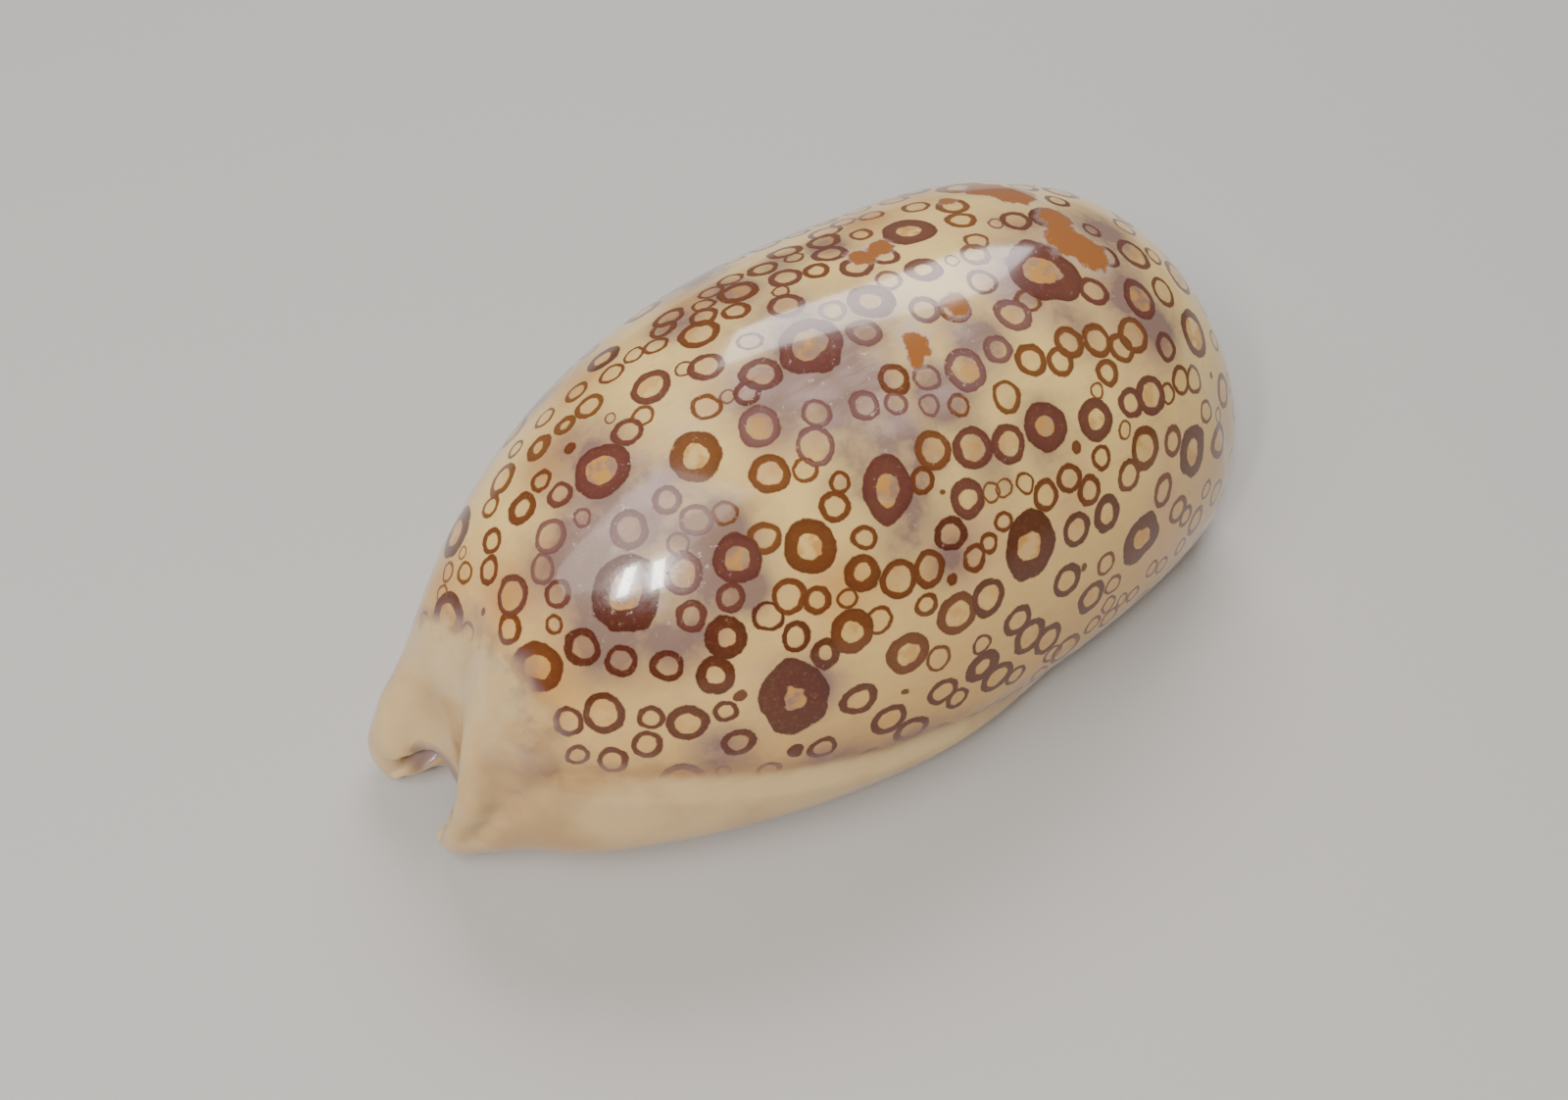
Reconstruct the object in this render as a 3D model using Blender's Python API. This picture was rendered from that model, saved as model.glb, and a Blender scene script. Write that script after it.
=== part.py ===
"""Eyed cowrie shell, resting on its mouth side.

The shell is one hollow body. Sections across it are open rings, each shaped like a C that lies
on its back: a thick lip on each side of the slit-like mouth, a base, and a domed back between
two margins. The sections are lofted from the notched front end to the spire end.

+Y runs from the front (siphonal) end to the spire end, +X to the inner-lip side and +Z up.
The origin lies in the middle of the surface that the shell rests on. Lengths are in metres.
A place along the shell is given as a share of its length, 0 at the front and 1 at the spire.
"""

import bpy
import numpy as np

MM = 0.001

# Overall size
LENGTH = 80.0 * MM
HALF_WIDTH = 23.1 * MM
HEIGHT = 35.0 * MM

# Outline seen from above
WIDEST_AT = 0.53
FRONT_HALF_WIDTH = 5.35 * MM
SPIRE_HALF_WIDTH = 10.4 * MM
FRONT_PLAN_CURVE = (2.06, 1.0)
SPIRE_PLAN_CURVE = (2.2, 2.05)
LOBE_FLARE = 0.1 * MM      # how far the two front lobes stand out sideways
LOBE_AT = 0.024
LOBE_SPREAD = 0.05

# Outline seen from the side
HIGHEST_AT = 0.638
FRONT_HEIGHT = 7.2 * MM
SPIRE_HEIGHT = 12.4 * MM
FRONT_SIDE_CURVE = (2.8, 1.5)
SPIRE_SIDE_CURVE = (2.74, 2.6)
WIDEST_LEVEL = 0.33        # share of the height at which a section is widest
BACK_FULLNESS = 0.975      # 1 is a plain ellipse, less is fuller
BASE_SQUARENESS = 2.3      # 2 is a plain ellipse, more is squarer

# Mouth
MOUTH_FRONT_GAP = 4.8 * MM
MOUTH_SPIRE_GAP = 3.4 * MM
MOUTH_NARROWS = (0.45, 0.85)
MOUTH_OFFSET = 0.3 * MM
MOUTH_BEND = 3.0 * MM      # sideways, at the spire end
MOUTH_BENDS = (0.45, 1.05)
LIP_ROUND = 2.2 * MM
LIP_INNER_ROUND = 1.6 * MM
LIP_END_ROUND = 0.4 * MM   # of the inner edge, at the two ends of the mouth
LIP_HEIGHT = 3.7 * MM
LIP_SHARE = 0.28           # most of a section's height that the lip may take

# Walls and the hollow inside them
BACK_WALL = 1.5 * MM
SIDE_WALL = 2.5 * MM
SPIRE_WALL = 6.2 * MM
FRONT_ROOF = 3.0 * MM
FRONT_ROOF_THINS = (0.0, 0.15)
SPIRE_WALL_THICKENS = (0.85, 1.0)
INSIDE_OPENS = (0.0, 0.12)
INSIDE_CLOSES = (0.88, 1.0)
SIDES_CLOSE_IN = (0.82, 1.0)
LEAST_LEDGE = 0.5 * MM     # between the lip's inner edge and the inner side wall
LEAST_STEP = 1.0 * MM      # between the inner floor and the widest level

# Ends
FRONT_NOTCH_DEPTH = 3.3 * MM
SPIRE_NOTCH_DEPTH = 2.4 * MM
SPIRE_NOTCH_TOP = 1.4      # times the spire height; the notch fades out up to there
NOTCH_MARGIN = 1.9 * MM    # how much wider a notch is than the mouth, each side
NOTCH_CURVE = (2.4, 2.0)
NOTCH_FADE = 0.17          # share of the length over which a notch pulls the wall back
FRONT_RIM_ROUND = 1.8 * MM
SPIRE_RIM_ROUND = 3.4 * MM
END_LIFT = 1.6 * MM        # how far the ends stand off the surface
RESTING_CUT = 0.9 * MM     # taken off the base to give the flat it rests on

# Callus: the roll along the inner-lip margin, and the forms between the front lobes
MARGIN_ROLL = 1.4 * MM
MARGIN_ROLL_LEVEL = 4.6 * MM
MARGIN_ROLL_THICKNESS = 2.6 * MM
ROLL_STARTS = (0.02, 0.12)
ROLL_ENDS = (0.42, 0.75)
FRONT_RIDGE = 1.0 * MM
RIDGE_PLACE = (4.6 * MM, 2.4 * MM)           # centre and spread sideways
FRONT_HOLLOW = 1.3 * MM
HOLLOW_PLACE = (-0.6 * MM, 3.0 * MM)
FRONT_FORMS_PLACE = (-34.0 * MM, 5.0 * MM)   # centre and spread lengthwise
FRONT_FORMS_LEVEL = (3.0 * MM, 6.0 * MM)
OUTER_LOBE = 3.0 * MM      # extra width of the outer-lip lobe, at the left of the front end
OUTER_LOBE_LENGTH = (0.0, 0.07)              # centre and spread, shares of the length
OUTER_LOBE_LEVEL = (4.0 * MM, 4.0 * MM)

# Teeth
TEETH_PER_LIP = 28
FIRST_TOOTH = 0.09
LAST_TOOTH = 0.90
TOOTH_DEPTH = 0.6 * MM
TOOTH_REACH = 3.0 * MM     # how far the grooves run out over the base

# Fineness of the mesh
BASE_STEPS = 8
BACK_STEPS = 14
LIP_STEPS = 4
PLAIN_STEPS = 3
RIM_ANGLES = np.radians([14.0, 40.0, 65.0, 90.0])
SMALLEST = 1e-9


def clear_scene():
    for item in list(bpy.data.objects):
        bpy.data.objects.remove(item, do_unlink=True)


def smooth_step(value, low, high):
    share = np.clip((value - low) / (high - low), 0.0, 1.0)
    return share * share * (3.0 - 2.0 * share)


def bump(value, centre, spread):
    return np.exp(-(((value - centre) / spread) ** 2))


def quarter(share, curve):
    """1 at share 0, falling to 0 at share 1 along a rounded shoulder."""
    power, root = curve
    return np.maximum(1.0 - np.clip(share, 0.0, 1.0) ** power, 0.0) ** (1.0 / root)


def outline(along, peak_at, ends, peak, front_curve, spire_curve):
    """Size at each place along, from the front end's value over the peak to the spire end's."""
    front, spire = ends
    before = front + (peak - front) * quarter((peak_at - along) / peak_at, front_curve)
    after = spire + (peak - spire) * quarter((along - peak_at) / (1.0 - peak_at), spire_curve)
    return np.where(along < peak_at, before, after)


def half_width(along):
    ends = (FRONT_HALF_WIDTH, SPIRE_HALF_WIDTH)
    width = outline(along, WIDEST_AT, ends, HALF_WIDTH, FRONT_PLAN_CURVE, SPIRE_PLAN_CURVE)
    return width + LOBE_FLARE * bump(along, LOBE_AT, LOBE_SPREAD)


def height(along):
    ends = (FRONT_HEIGHT, SPIRE_HEIGHT)
    return outline(along, HIGHEST_AT, ends, HEIGHT, FRONT_SIDE_CURVE, SPIRE_SIDE_CURVE)


def mouth_line(along):
    return MOUTH_OFFSET + MOUTH_BEND * smooth_step(along, *MOUTH_BENDS)


def mouth_gap(along):
    narrowing = smooth_step(along, *MOUTH_NARROWS)
    return MOUTH_FRONT_GAP + (MOUTH_SPIRE_GAP - MOUTH_FRONT_GAP) * narrowing


def section_angles():
    """-90 at the right lip's foot, 0 at the right margin, 90 on the crest, 270 at the left foot."""
    right = np.linspace(-90.0, 0.0, BASE_STEPS + 1)[:-1]
    back = np.linspace(0.0, 180.0, BACK_STEPS + 1)
    left = np.linspace(180.0, 270.0, BASE_STEPS + 1)[1:]
    return np.radians(np.concatenate([right, back, left]))


def c_curve(angles, feet, floor, sides, level, top):
    """Points of one side of the C, as (x, z). feet and sides are (left, right) values of x."""
    centre = 0.5 * (sides[0] + sides[1])
    on_back = (angles >= 0.0) & (angles <= np.pi)
    to_right = np.cos(angles) + SMALLEST * (angles < 0.0) >= 0.0
    below = np.where(angles < 0.0, -angles, angles - np.pi)
    side = np.where(to_right, sides[1], sides[0])
    foot = np.where(to_right, feet[1], feet[0])
    power = 2.0 / BASE_SQUARENESS
    cosine = np.clip(np.cos(below), 0.0, 1.0) ** power
    sine = np.clip(np.sin(below), 0.0, 1.0) ** power
    base_x = foot + (side - foot) * cosine
    base_z = level - (level - floor) * sine
    back_x = centre + (side - centre) * np.abs(np.cos(angles))
    back_z = level + (top - level) * np.clip(np.sin(angles), 0.0, 1.0) ** BACK_FULLNESS
    return np.where(on_back, back_x, base_x), np.where(on_back, back_z, base_z)


def callus(x, z, along):
    """Outward push of the outer wall: the roll on the inner-lip margin and the front forms."""
    y = (along - 0.5) * LENGTH
    reach = smooth_step(along, *ROLL_STARTS) * (1.0 - smooth_step(along, *ROLL_ENDS))
    roll = MARGIN_ROLL * bump(z, MARGIN_ROLL_LEVEL, MARGIN_ROLL_THICKNESS) * (x > 0.0) * reach
    lobe = OUTER_LOBE * bump(along, *OUTER_LOBE_LENGTH) * bump(z, *OUTER_LOBE_LEVEL) * (x < 0.0)
    at_front = bump(y, *FRONT_FORMS_PLACE) * smooth_step(z, *FRONT_FORMS_LEVEL)
    ridge = FRONT_RIDGE * bump(x, *RIDGE_PLACE)
    hollow = FRONT_HOLLOW * bump(x, *HOLLOW_PLACE)
    return roll + lobe + (ridge - hollow) * at_front


def outer_curve(along, angles, groove):
    """Outer side of the section: base, margins and back. A groove parts two teeth at the feet."""
    width = half_width(along)
    top = height(along)
    mouth = mouth_line(along)
    reach = 0.5 * mouth_gap(along) + LIP_ROUND
    feet = (mouth - reach, mouth + reach)
    level = WIDEST_LEVEL * top
    x, z = c_curve(angles, feet, 0.0, (-width, width), level, top)
    push = callus(x, z, along)
    length = np.hypot(x, z - level) + SMALLEST
    x = x + push * x / length
    z = z + push * (z - level) / length
    lift = END_LIFT * np.abs(2.0 * along - 1.0) ** 4
    z = np.maximum(z + (lift - RESTING_CUT) * (1.0 - z / top), 0.0)
    on_base = (angles < 0.0) | (angles > np.pi)
    share = np.clip((np.abs(x - mouth) - reach) / TOOTH_REACH, 0.0, 1.0)
    return x, z + groove * TOOTH_DEPTH * (1.0 - share) ** 2 * on_base


def roof_thickness(along):
    front = (FRONT_ROOF - BACK_WALL) * (1.0 - smooth_step(along, *FRONT_ROOF_THINS))
    spire = (SPIRE_WALL - BACK_WALL) * smooth_step(along, *SPIRE_WALL_THICKENS)
    return BACK_WALL + front + spire


def inner_curve(along, angles):
    """Inner side of the section: the floor above the base, and the hollow under the back."""
    mouth = mouth_line(along)
    reach = 0.5 * mouth_gap(along)
    opened = smooth_step(along, *INSIDE_OPENS) * (1.0 - smooth_step(along, *INSIDE_CLOSES))
    lip = LIP_END_ROUND + (LIP_INNER_ROUND - LIP_END_ROUND) * opened
    feet = (mouth - reach - lip, mouth + reach + lip)
    inside = half_width(along) - SIDE_WALL
    least = reach + lip + LEAST_LEDGE
    narrowing = smooth_step(along, *SIDES_CLOSE_IN)
    left = -inside + (mouth - least + inside) * narrowing
    right = inside + (mouth + least - inside) * narrowing
    sides = (np.minimum(left, mouth - least), np.maximum(right, mouth + least))
    top = height(along)
    floor = np.minimum(LIP_HEIGHT, LIP_SHARE * top)
    level = np.maximum(WIDEST_LEVEL * top, floor + LEAST_STEP)
    return c_curve(angles, feet, floor, sides, level, top - roof_thickness(along))


def lip_curve(outer_foot, inner_foot, edge):
    """Points round one lip, from its foot on the base over the mouth's edge to its inner top."""
    turns = np.linspace(-np.pi / 2, np.pi / 2, LIP_STEPS + 1)[1:-1]
    middle = 0.5 * (outer_foot[1] + inner_foot[1])
    start = np.where(turns < 0.0, outer_foot[0], inner_foot[0])
    end_z = np.where(turns < 0.0, outer_foot[1], inner_foot[1])
    x = start + (edge - start) * np.cos(turns)
    z = middle + (end_z - middle) * np.abs(np.sin(turns))
    return x, z


def middle_curve(along, angles):
    outer_x, outer_z = outer_curve(along, angles, 0.0)
    inner_x, inner_z = inner_curve(along, angles)
    return 0.5 * (outer_x + inner_x), 0.5 * (outer_z + inner_z)


def end_notch(end, along, angles, depth):
    """How far the wall is pulled back from an end (0 front, 1 spire), as a round notch."""
    rim_x = middle_curve(end, angles)[0] - mouth_line(end)
    half_gap = 0.5 * mouth_gap(end) + NOTCH_MARGIN
    fade = (1.0 - np.minimum(np.abs(along - end) / NOTCH_FADE, 1.0)) ** 2
    on_back = smooth_step(np.sin(angles), 0.0, 0.6)
    return depth * quarter(np.abs(rim_x) / half_gap, NOTCH_CURVE) * fade * on_back


def section(along, wall_share, groove):
    """One closed loop of points: outer side, left lip, inner side back again, right lip."""
    angles = section_angles()
    outer_x, outer_z = outer_curve(along, angles, groove)
    inner_x, inner_z = inner_curve(along, angles)
    middle_x, middle_z = middle_curve(along, angles)
    mouth = mouth_line(along)
    edge = 0.5 * mouth_gap(along)
    below_top = 1.0 - smooth_step(middle_z, SPIRE_HEIGHT, SPIRE_NOTCH_TOP * SPIRE_HEIGHT)
    y = (along - 0.5) * LENGTH + end_notch(0.0, along, angles, FRONT_NOTCH_DEPTH)
    y = y - end_notch(1.0, along, angles, SPIRE_NOTCH_DEPTH) * below_top

    lips = []
    for side, end in ((-1.0, -1), (1.0, 0)):
        outer_foot = (outer_x[end], outer_z[end])
        inner_foot = (inner_x[end], inner_z[end])
        x, z = lip_curve(outer_foot, inner_foot, mouth + side * edge)
        centre_x = mouth + side * (edge + 0.5 * LIP_ROUND)
        x = x + side * groove * TOOTH_DEPTH
        lips.append((centre_x + wall_share * (x - centre_x),
                     middle_z[end] + wall_share * (z - middle_z[end]),
                     np.full(len(x), y[end])))
    outer_x = middle_x + wall_share * (outer_x - middle_x)
    outer_z = middle_z + wall_share * (outer_z - middle_z)
    inner_x = middle_x + wall_share * (inner_x - middle_x)
    inner_z = middle_z + wall_share * (inner_z - middle_z)
    left, right = lips
    xs = np.concatenate([outer_x, left[0], inner_x[::-1], right[0][::-1]])
    ys = np.concatenate([y, left[2], y[::-1], right[2]])
    zs = np.concatenate([outer_z, left[1], inner_z[::-1], right[1][::-1]])
    return np.stack([xs, ys, zs], axis=1)


def rim_stations(rim_round):
    """(distance in from the end as a share of the length, share of the wall's thickness)."""
    start = np.cos(RIM_ANGLES[0])
    return [(rim_round / LENGTH * (start - np.cos(a)), np.sin(a)) for a in RIM_ANGLES]


def stations():
    """(place along, share of the wall's thickness, groove or not) from the front end back."""
    front = [(inset, share, 0.0) for inset, share in rim_stations(FRONT_RIM_ROUND)]
    spire = [(1.0 - inset, share, 0.0) for inset, share in rim_stations(SPIRE_RIM_ROUND)[::-1]]
    teeth = np.linspace(FIRST_TOOTH, LAST_TOOTH, 2 * TEETH_PER_LIP - 1)
    toothed = [(along, 1.0, float(i % 2)) for i, along in enumerate(teeth)]
    lead_in = np.linspace(front[-1][0], FIRST_TOOTH, PLAIN_STEPS + 2)[1:-1]
    lead_out = np.linspace(LAST_TOOTH, spire[0][0], PLAIN_STEPS + 2)[1:-1]
    plain = [[(along, 1.0, 0.0) for along in stretch] for stretch in (lead_in, lead_out)]
    return front + plain[0] + toothed + plain[1] + spire


def rim_faces(first, outer, lip):
    """Faces that close an end: outer and inner points pair up round the C."""
    count = 2 * outer + 2 * lip
    faces = []
    for i in range(outer - 1):
        inner = outer + lip + (outer - 1 - i)
        faces.append((first + i, first + i + 1, first + inner - 1, first + inner))
    left = [first + outer - 1 + k for k in range(lip + 2)]
    right = [first + (outer + lip + outer - 1 + k) % count for k in range(lip + 2)]
    return faces, [tuple(left), tuple(right)]


def wall_faces(loops, count):
    faces = []
    for ring in range(loops - 1):
        a, b = ring * count, (ring + 1) * count
        for i in range(count):
            j = (i + 1) % count
            faces.append((a + i, b + i, b + j, a + j))
    return faces


def shell_mesh():
    loops = [section(*place) for place in stations()]
    count = len(loops[0])
    outer = len(section_angles())
    lip = LIP_STEPS - 1
    front, front_lips = rim_faces(0, outer, lip)
    spire, spire_lips = rim_faces((len(loops) - 1) * count, outer, lip)
    faces = wall_faces(len(loops), count)
    faces += front + front_lips + [face[::-1] for face in spire + spire_lips]
    mesh = bpy.data.meshes.new("shell")
    mesh.from_pydata(np.concatenate(loops).tolist(), [], faces)
    mesh.validate()
    return mesh


def enamel():
    """Cream, glossy shell enamel."""
    material = bpy.data.materials.new("cream_enamel")
    material.use_nodes = True
    surface = material.node_tree.nodes["Principled BSDF"]
    surface.inputs["Base Color"].default_value = (0.72, 0.53, 0.36, 1.0)
    surface.inputs["Roughness"].default_value = 0.22
    surface.inputs["Metallic"].default_value = 0.0
    return material


def build():
    clear_scene()
    mesh = shell_mesh()
    shell = bpy.data.objects.new("shell", mesh)
    bpy.context.scene.collection.objects.link(shell)
    mesh.materials.append(enamel())
    mesh.shade_smooth()
    mesh.set_sharp_from_angle(angle=np.radians(50.0))


build()
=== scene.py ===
"""Looks of the eyed cowrie shell: its fine shape, teeth, spots and enamel, a pale floor and light.

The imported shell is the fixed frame. A finer shell of the same shape, with teeth along its lips,
stands for it. +Y runs to the spire end, +X to the inner-lip side and +Z up. Lengths are in
metres where no other unit is named. A place along the shell is a share of its length.
"""

import bpy
import numpy as np
from mathutils import Matrix, Quaternion, Vector
from mathutils.bvhtree import BVHTree


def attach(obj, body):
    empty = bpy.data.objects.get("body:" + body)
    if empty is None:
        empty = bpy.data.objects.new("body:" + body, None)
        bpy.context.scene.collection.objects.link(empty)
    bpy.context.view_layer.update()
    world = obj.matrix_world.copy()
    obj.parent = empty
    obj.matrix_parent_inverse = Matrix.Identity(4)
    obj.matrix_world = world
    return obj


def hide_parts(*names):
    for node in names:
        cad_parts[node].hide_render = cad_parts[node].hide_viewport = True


MM = 0.001

# Size of the shell
LENGTH = 80.0 * MM
HALF_WIDTH = 23.1 * MM
HEIGHT = 35.0 * MM
BACK_WALL = 1.5 * MM
SIDE_WALL = 2.5 * MM

# Outline seen from above
WIDEST_AT = 0.53
FRONT_HALF_WIDTH = 5.35 * MM
SPIRE_HALF_WIDTH = 10.4 * MM
FRONT_PLAN_CURVE = (2.06, 1.0)
SPIRE_PLAN_CURVE = (2.2, 2.05)
LOBE_FLARE = 0.1 * MM
LOBE_AT = 0.024
LOBE_SPREAD = 0.05

# Outline seen from the side
HIGHEST_AT = 0.638
FRONT_HEIGHT = 7.2 * MM
SPIRE_HEIGHT = 12.4 * MM
FRONT_SIDE_CURVE = (2.8, 1.5)
SPIRE_SIDE_CURVE = (2.74, 2.6)
WIDEST_LEVEL = 0.33
BACK_FULLNESS = 0.975
BASE_SQUARENESS = 2.3

# Mouth and lips
MOUTH_FRONT_GAP = 4.8 * MM
MOUTH_SPIRE_GAP = 3.4 * MM
MOUTH_NARROWS = (0.45, 0.85)
MOUTH_OFFSET = 0.3 * MM
MOUTH_BEND = 3.0 * MM
MOUTH_BENDS = (0.45, 1.05)
LIP_ROUND = 2.2 * MM
LIP_INNER_ROUND = 1.6 * MM
LIP_END_ROUND = 0.4 * MM
LIP_HEIGHT = 3.7 * MM
LIP_SHARE = 0.28
LIP_RELIEF = 0.7 * MM      # how much the base rises towards the mouth, where the teeth stand on it
LIP_RELIEF_REACH = 8.0 * MM

# Walls and the hollow inside them
SPIRE_WALL = 8.4 * MM
FRONT_ROOF = 4.5 * MM
FRONT_ROOF_THINS = (0.0, 0.15)
SPIRE_WALL_THICKENS = (0.85, 1.0)
INSIDE_OPENS = (0.0, 0.12)
INSIDE_CLOSES = (0.88, 1.0)
SIDES_CLOSE_IN = (0.82, 1.0)
LEAST_LEDGE = 0.5 * MM
LEAST_STEP = 1.0 * MM

# Ends
FRONT_NOTCH_DEPTH = 3.3 * MM
SPIRE_NOTCH_DEPTH = 2.4 * MM
SPIRE_NOTCH_TOP = 1.4
NOTCH_MARGIN = 1.9 * MM
NOTCH_CURVE = (2.4, 2.0)
NOTCH_FADE = 0.17
NOTCH_ON_BACK = (0.0, 0.6)
SADDLE = (1.0 * MM, 8.5 * MM)  # half the width of the smooth dip behind a notch, flat and whole
SADDLE_SETTLES = 0.05
FRONT_RIM_ROUND = 2.0 * MM
SPIRE_RIM_ROUND = 3.4 * MM
END_LIFT = 1.6 * MM
END_LIFT_CURVE = 4.0
RESTING_CUT = 0.9 * MM

# Callus
MARGIN_ROLL = 0.6 * MM
MARGIN_ROLL_LEVEL = 4.6 * MM
MARGIN_ROLL_THICKNESS = 2.6 * MM
ROLL_STARTS = (0.02, 0.12)
ROLL_ENDS = (0.42, 0.75)
FRONT_RIDGE = 1.3 * MM
RIDGE_PLACE = (4.6 * MM, 2.4 * MM)
FRONT_HOLLOW = 1.3 * MM
HOLLOW_PLACE = (-0.6 * MM, 3.0 * MM)
FRONT_FORMS_PLACE = (-34.0 * MM, 5.0 * MM)
FRONT_FORMS_LEVEL = (3.0 * MM, 6.0 * MM)
OUTER_LOBE = 3.0 * MM
OUTER_LOBE_LENGTH = (0.0, 0.07)
OUTER_LOBE_LEVEL = (4.0 * MM, 4.0 * MM)
MARGIN_STEP = 0.85 * MM    # how far the callus of the margin stands out at its upper edge
MARGIN_STEP_WIDTH = 1.3 * MM
MARGIN_EDGE = 7.0 * MM
MARGIN_EDGE_SLOPE = -0.15
MARGIN_STEP_FOOT = (1.0 * MM, 4.0 * MM)
MARGIN_GROOVE = 0.25 * MM
MARGIN_GROOVE_ABOVE = 0.3 * MM
MARGIN_GROOVE_WIDTH = 0.7 * MM

# Fine forms pushed out of or into the front end: places, widths and heights in millimetres
FRONT_FORMS = (
    ((5.2, -39.9, 2.6), 2.0, 0.55), ((5.9, -39.0, 4.8), 1.5, 0.60), ((6.3, -38.0, 6.8), 1.5, 0.75),
    ((6.2, -37.2, 8.8), 1.6, 0.85), ((5.7, -36.4, 11.0), 1.7, 0.80), ((5.1, -35.6, 13.2), 1.9, 0.60),
    ((8.1, -36.2, 9.6), 1.2, -0.45), ((7.6, -35.4, 11.6), 1.3, -0.35), ((9.0, -33.4, 13.2), 2.5, 0.60),
    ((4.2, -34.2, 16.0), 2.4, 0.35), ((6.7, -38.6, 4.3), 0.9, -0.50), ((7.4, -37.7, 5.9), 0.9, -0.65),
    ((8.2, -36.6, 7.5), 0.9, -0.70), ((9.0, -35.2, 9.0), 0.9, -0.65), ((9.8, -33.8, 10.4), 0.9, -0.55),
    ((10.7, -32.3, 11.4), 0.9, -0.40), ((8.0, -37.2, 3.6), 1.7, 0.35), ((10.0, -34.8, 7.0), 1.9, 0.25),
    ((-6.3, -39.4, 2.6), 2.4, 0.75), ((-5.6, -39.6, 4.6), 2.2, 0.55), ((-5.6, -38.6, 7.6), 1.9, 0.55),
    ((-6.2, -37.2, 10.4), 2.2, 0.35), ((-0.4, -36.4, 10.0), 2.4, -0.35), ((-3.0, -34.9, 14.6), 2.4, 0.25),
    ((3.4, -38.3, 4.6), 1.5, -0.55), ((-7.4, -38.8, 3.2), 2.0, 0.25),
)
INNER_FORMS_SHARE = 0.2    # how much of the fine forms reaches the inner side of the wall
INNER_ROUNDS = 10          # rounds that blend the two sides of the wall at the rim

# Parts of the front notch that are moved: places, widths and ways to go in millimetres
FRONT_SHIFTS = (
    ((0.6, -36.9, 5.0), 2.4, (0.0, -0.3, -2.2)), ((-3.0, -39.2, 1.4), 2.1, (-1.5, 0.0, 0.0)),
    ((3.6, -39.6, 1.6), 1.8, (-0.3, -0.2, 0.0)), ((-3.4, -38.7, 4.4), 1.8, (0.0, -0.3, -1.6)),
    ((-4.6, -39.4, 2.4), 2.4, (0.0, -0.3, -0.7)),
)
SOFT_ROUNDS = 26           # rounds of smoothing near the two ends
SOFT_LEAN = 0.35
SOFT_FROM_TO = (-38.5 * MM, -36.2 * MM)

# Fineness of the mesh: points on the wall, round a lip, in a rim and in all along the shell
WALL_POINTS = 131
LIP_POINTS = 9
RIM_STATIONS = 10
STATIONS = 250
CROWDED_ENDS = 0.7         # how much closer together the stations stand near the ends
TOUCHING = 0.001 * MM      # points this close are merged

# Teeth
TEETH = 37
TEETH_FROM_TO = (0.075, 0.915)
TOOTH_POINTS = 14
TOOTH_SIDES = 8
TOOTH_RADIUS = 0.5 * MM
TOOTH_SINKS = 0.56         # how deep the middle of a tooth lies in the lip, as a share of its radius
TOOTH_OUT_LEFT = 15.0      # degrees of the section that a tooth runs out over the base
TOOTH_OUT_RIGHT = 11.0
TOOTH_TIP = 0.25           # thickness at the tip, as a share of the full radius
TOOTH_OVER_LIP = 0.9       # how far a tooth runs round the lip's edge

# The photograph's frame, in pixels, and where the camera stood, in millimetres and degrees
PHOTO_WIDTH = 1600
PHOTO_HEIGHT = 1122
FOCAL = 1660.8
CAMERA_TURN = 52.01
CAMERA_HEIGHT = 43.56
CAMERA_ROLL = 0.98
CAMERA_AWAY = 139.89 * MM
CAMERA_CENTRE = (32.48, -64.29)
AIM = np.array([0.0, 0.0, 15.0 * MM])
SENSOR = 36.0
CLIP_START = 0.005

# Width of a spot's line as a share of its radius, and its colour as a place on the line colours
THIN, MEDIUM, THICK, BROAD, FILLED = 0.31, 0.40, 0.53, 0.68, 1.6
GOLDEN, TAN, BROWN, DARK, VIOLET, FADED = 0.0, 0.2, 0.4, 0.6, 0.8, 1.0

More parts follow.
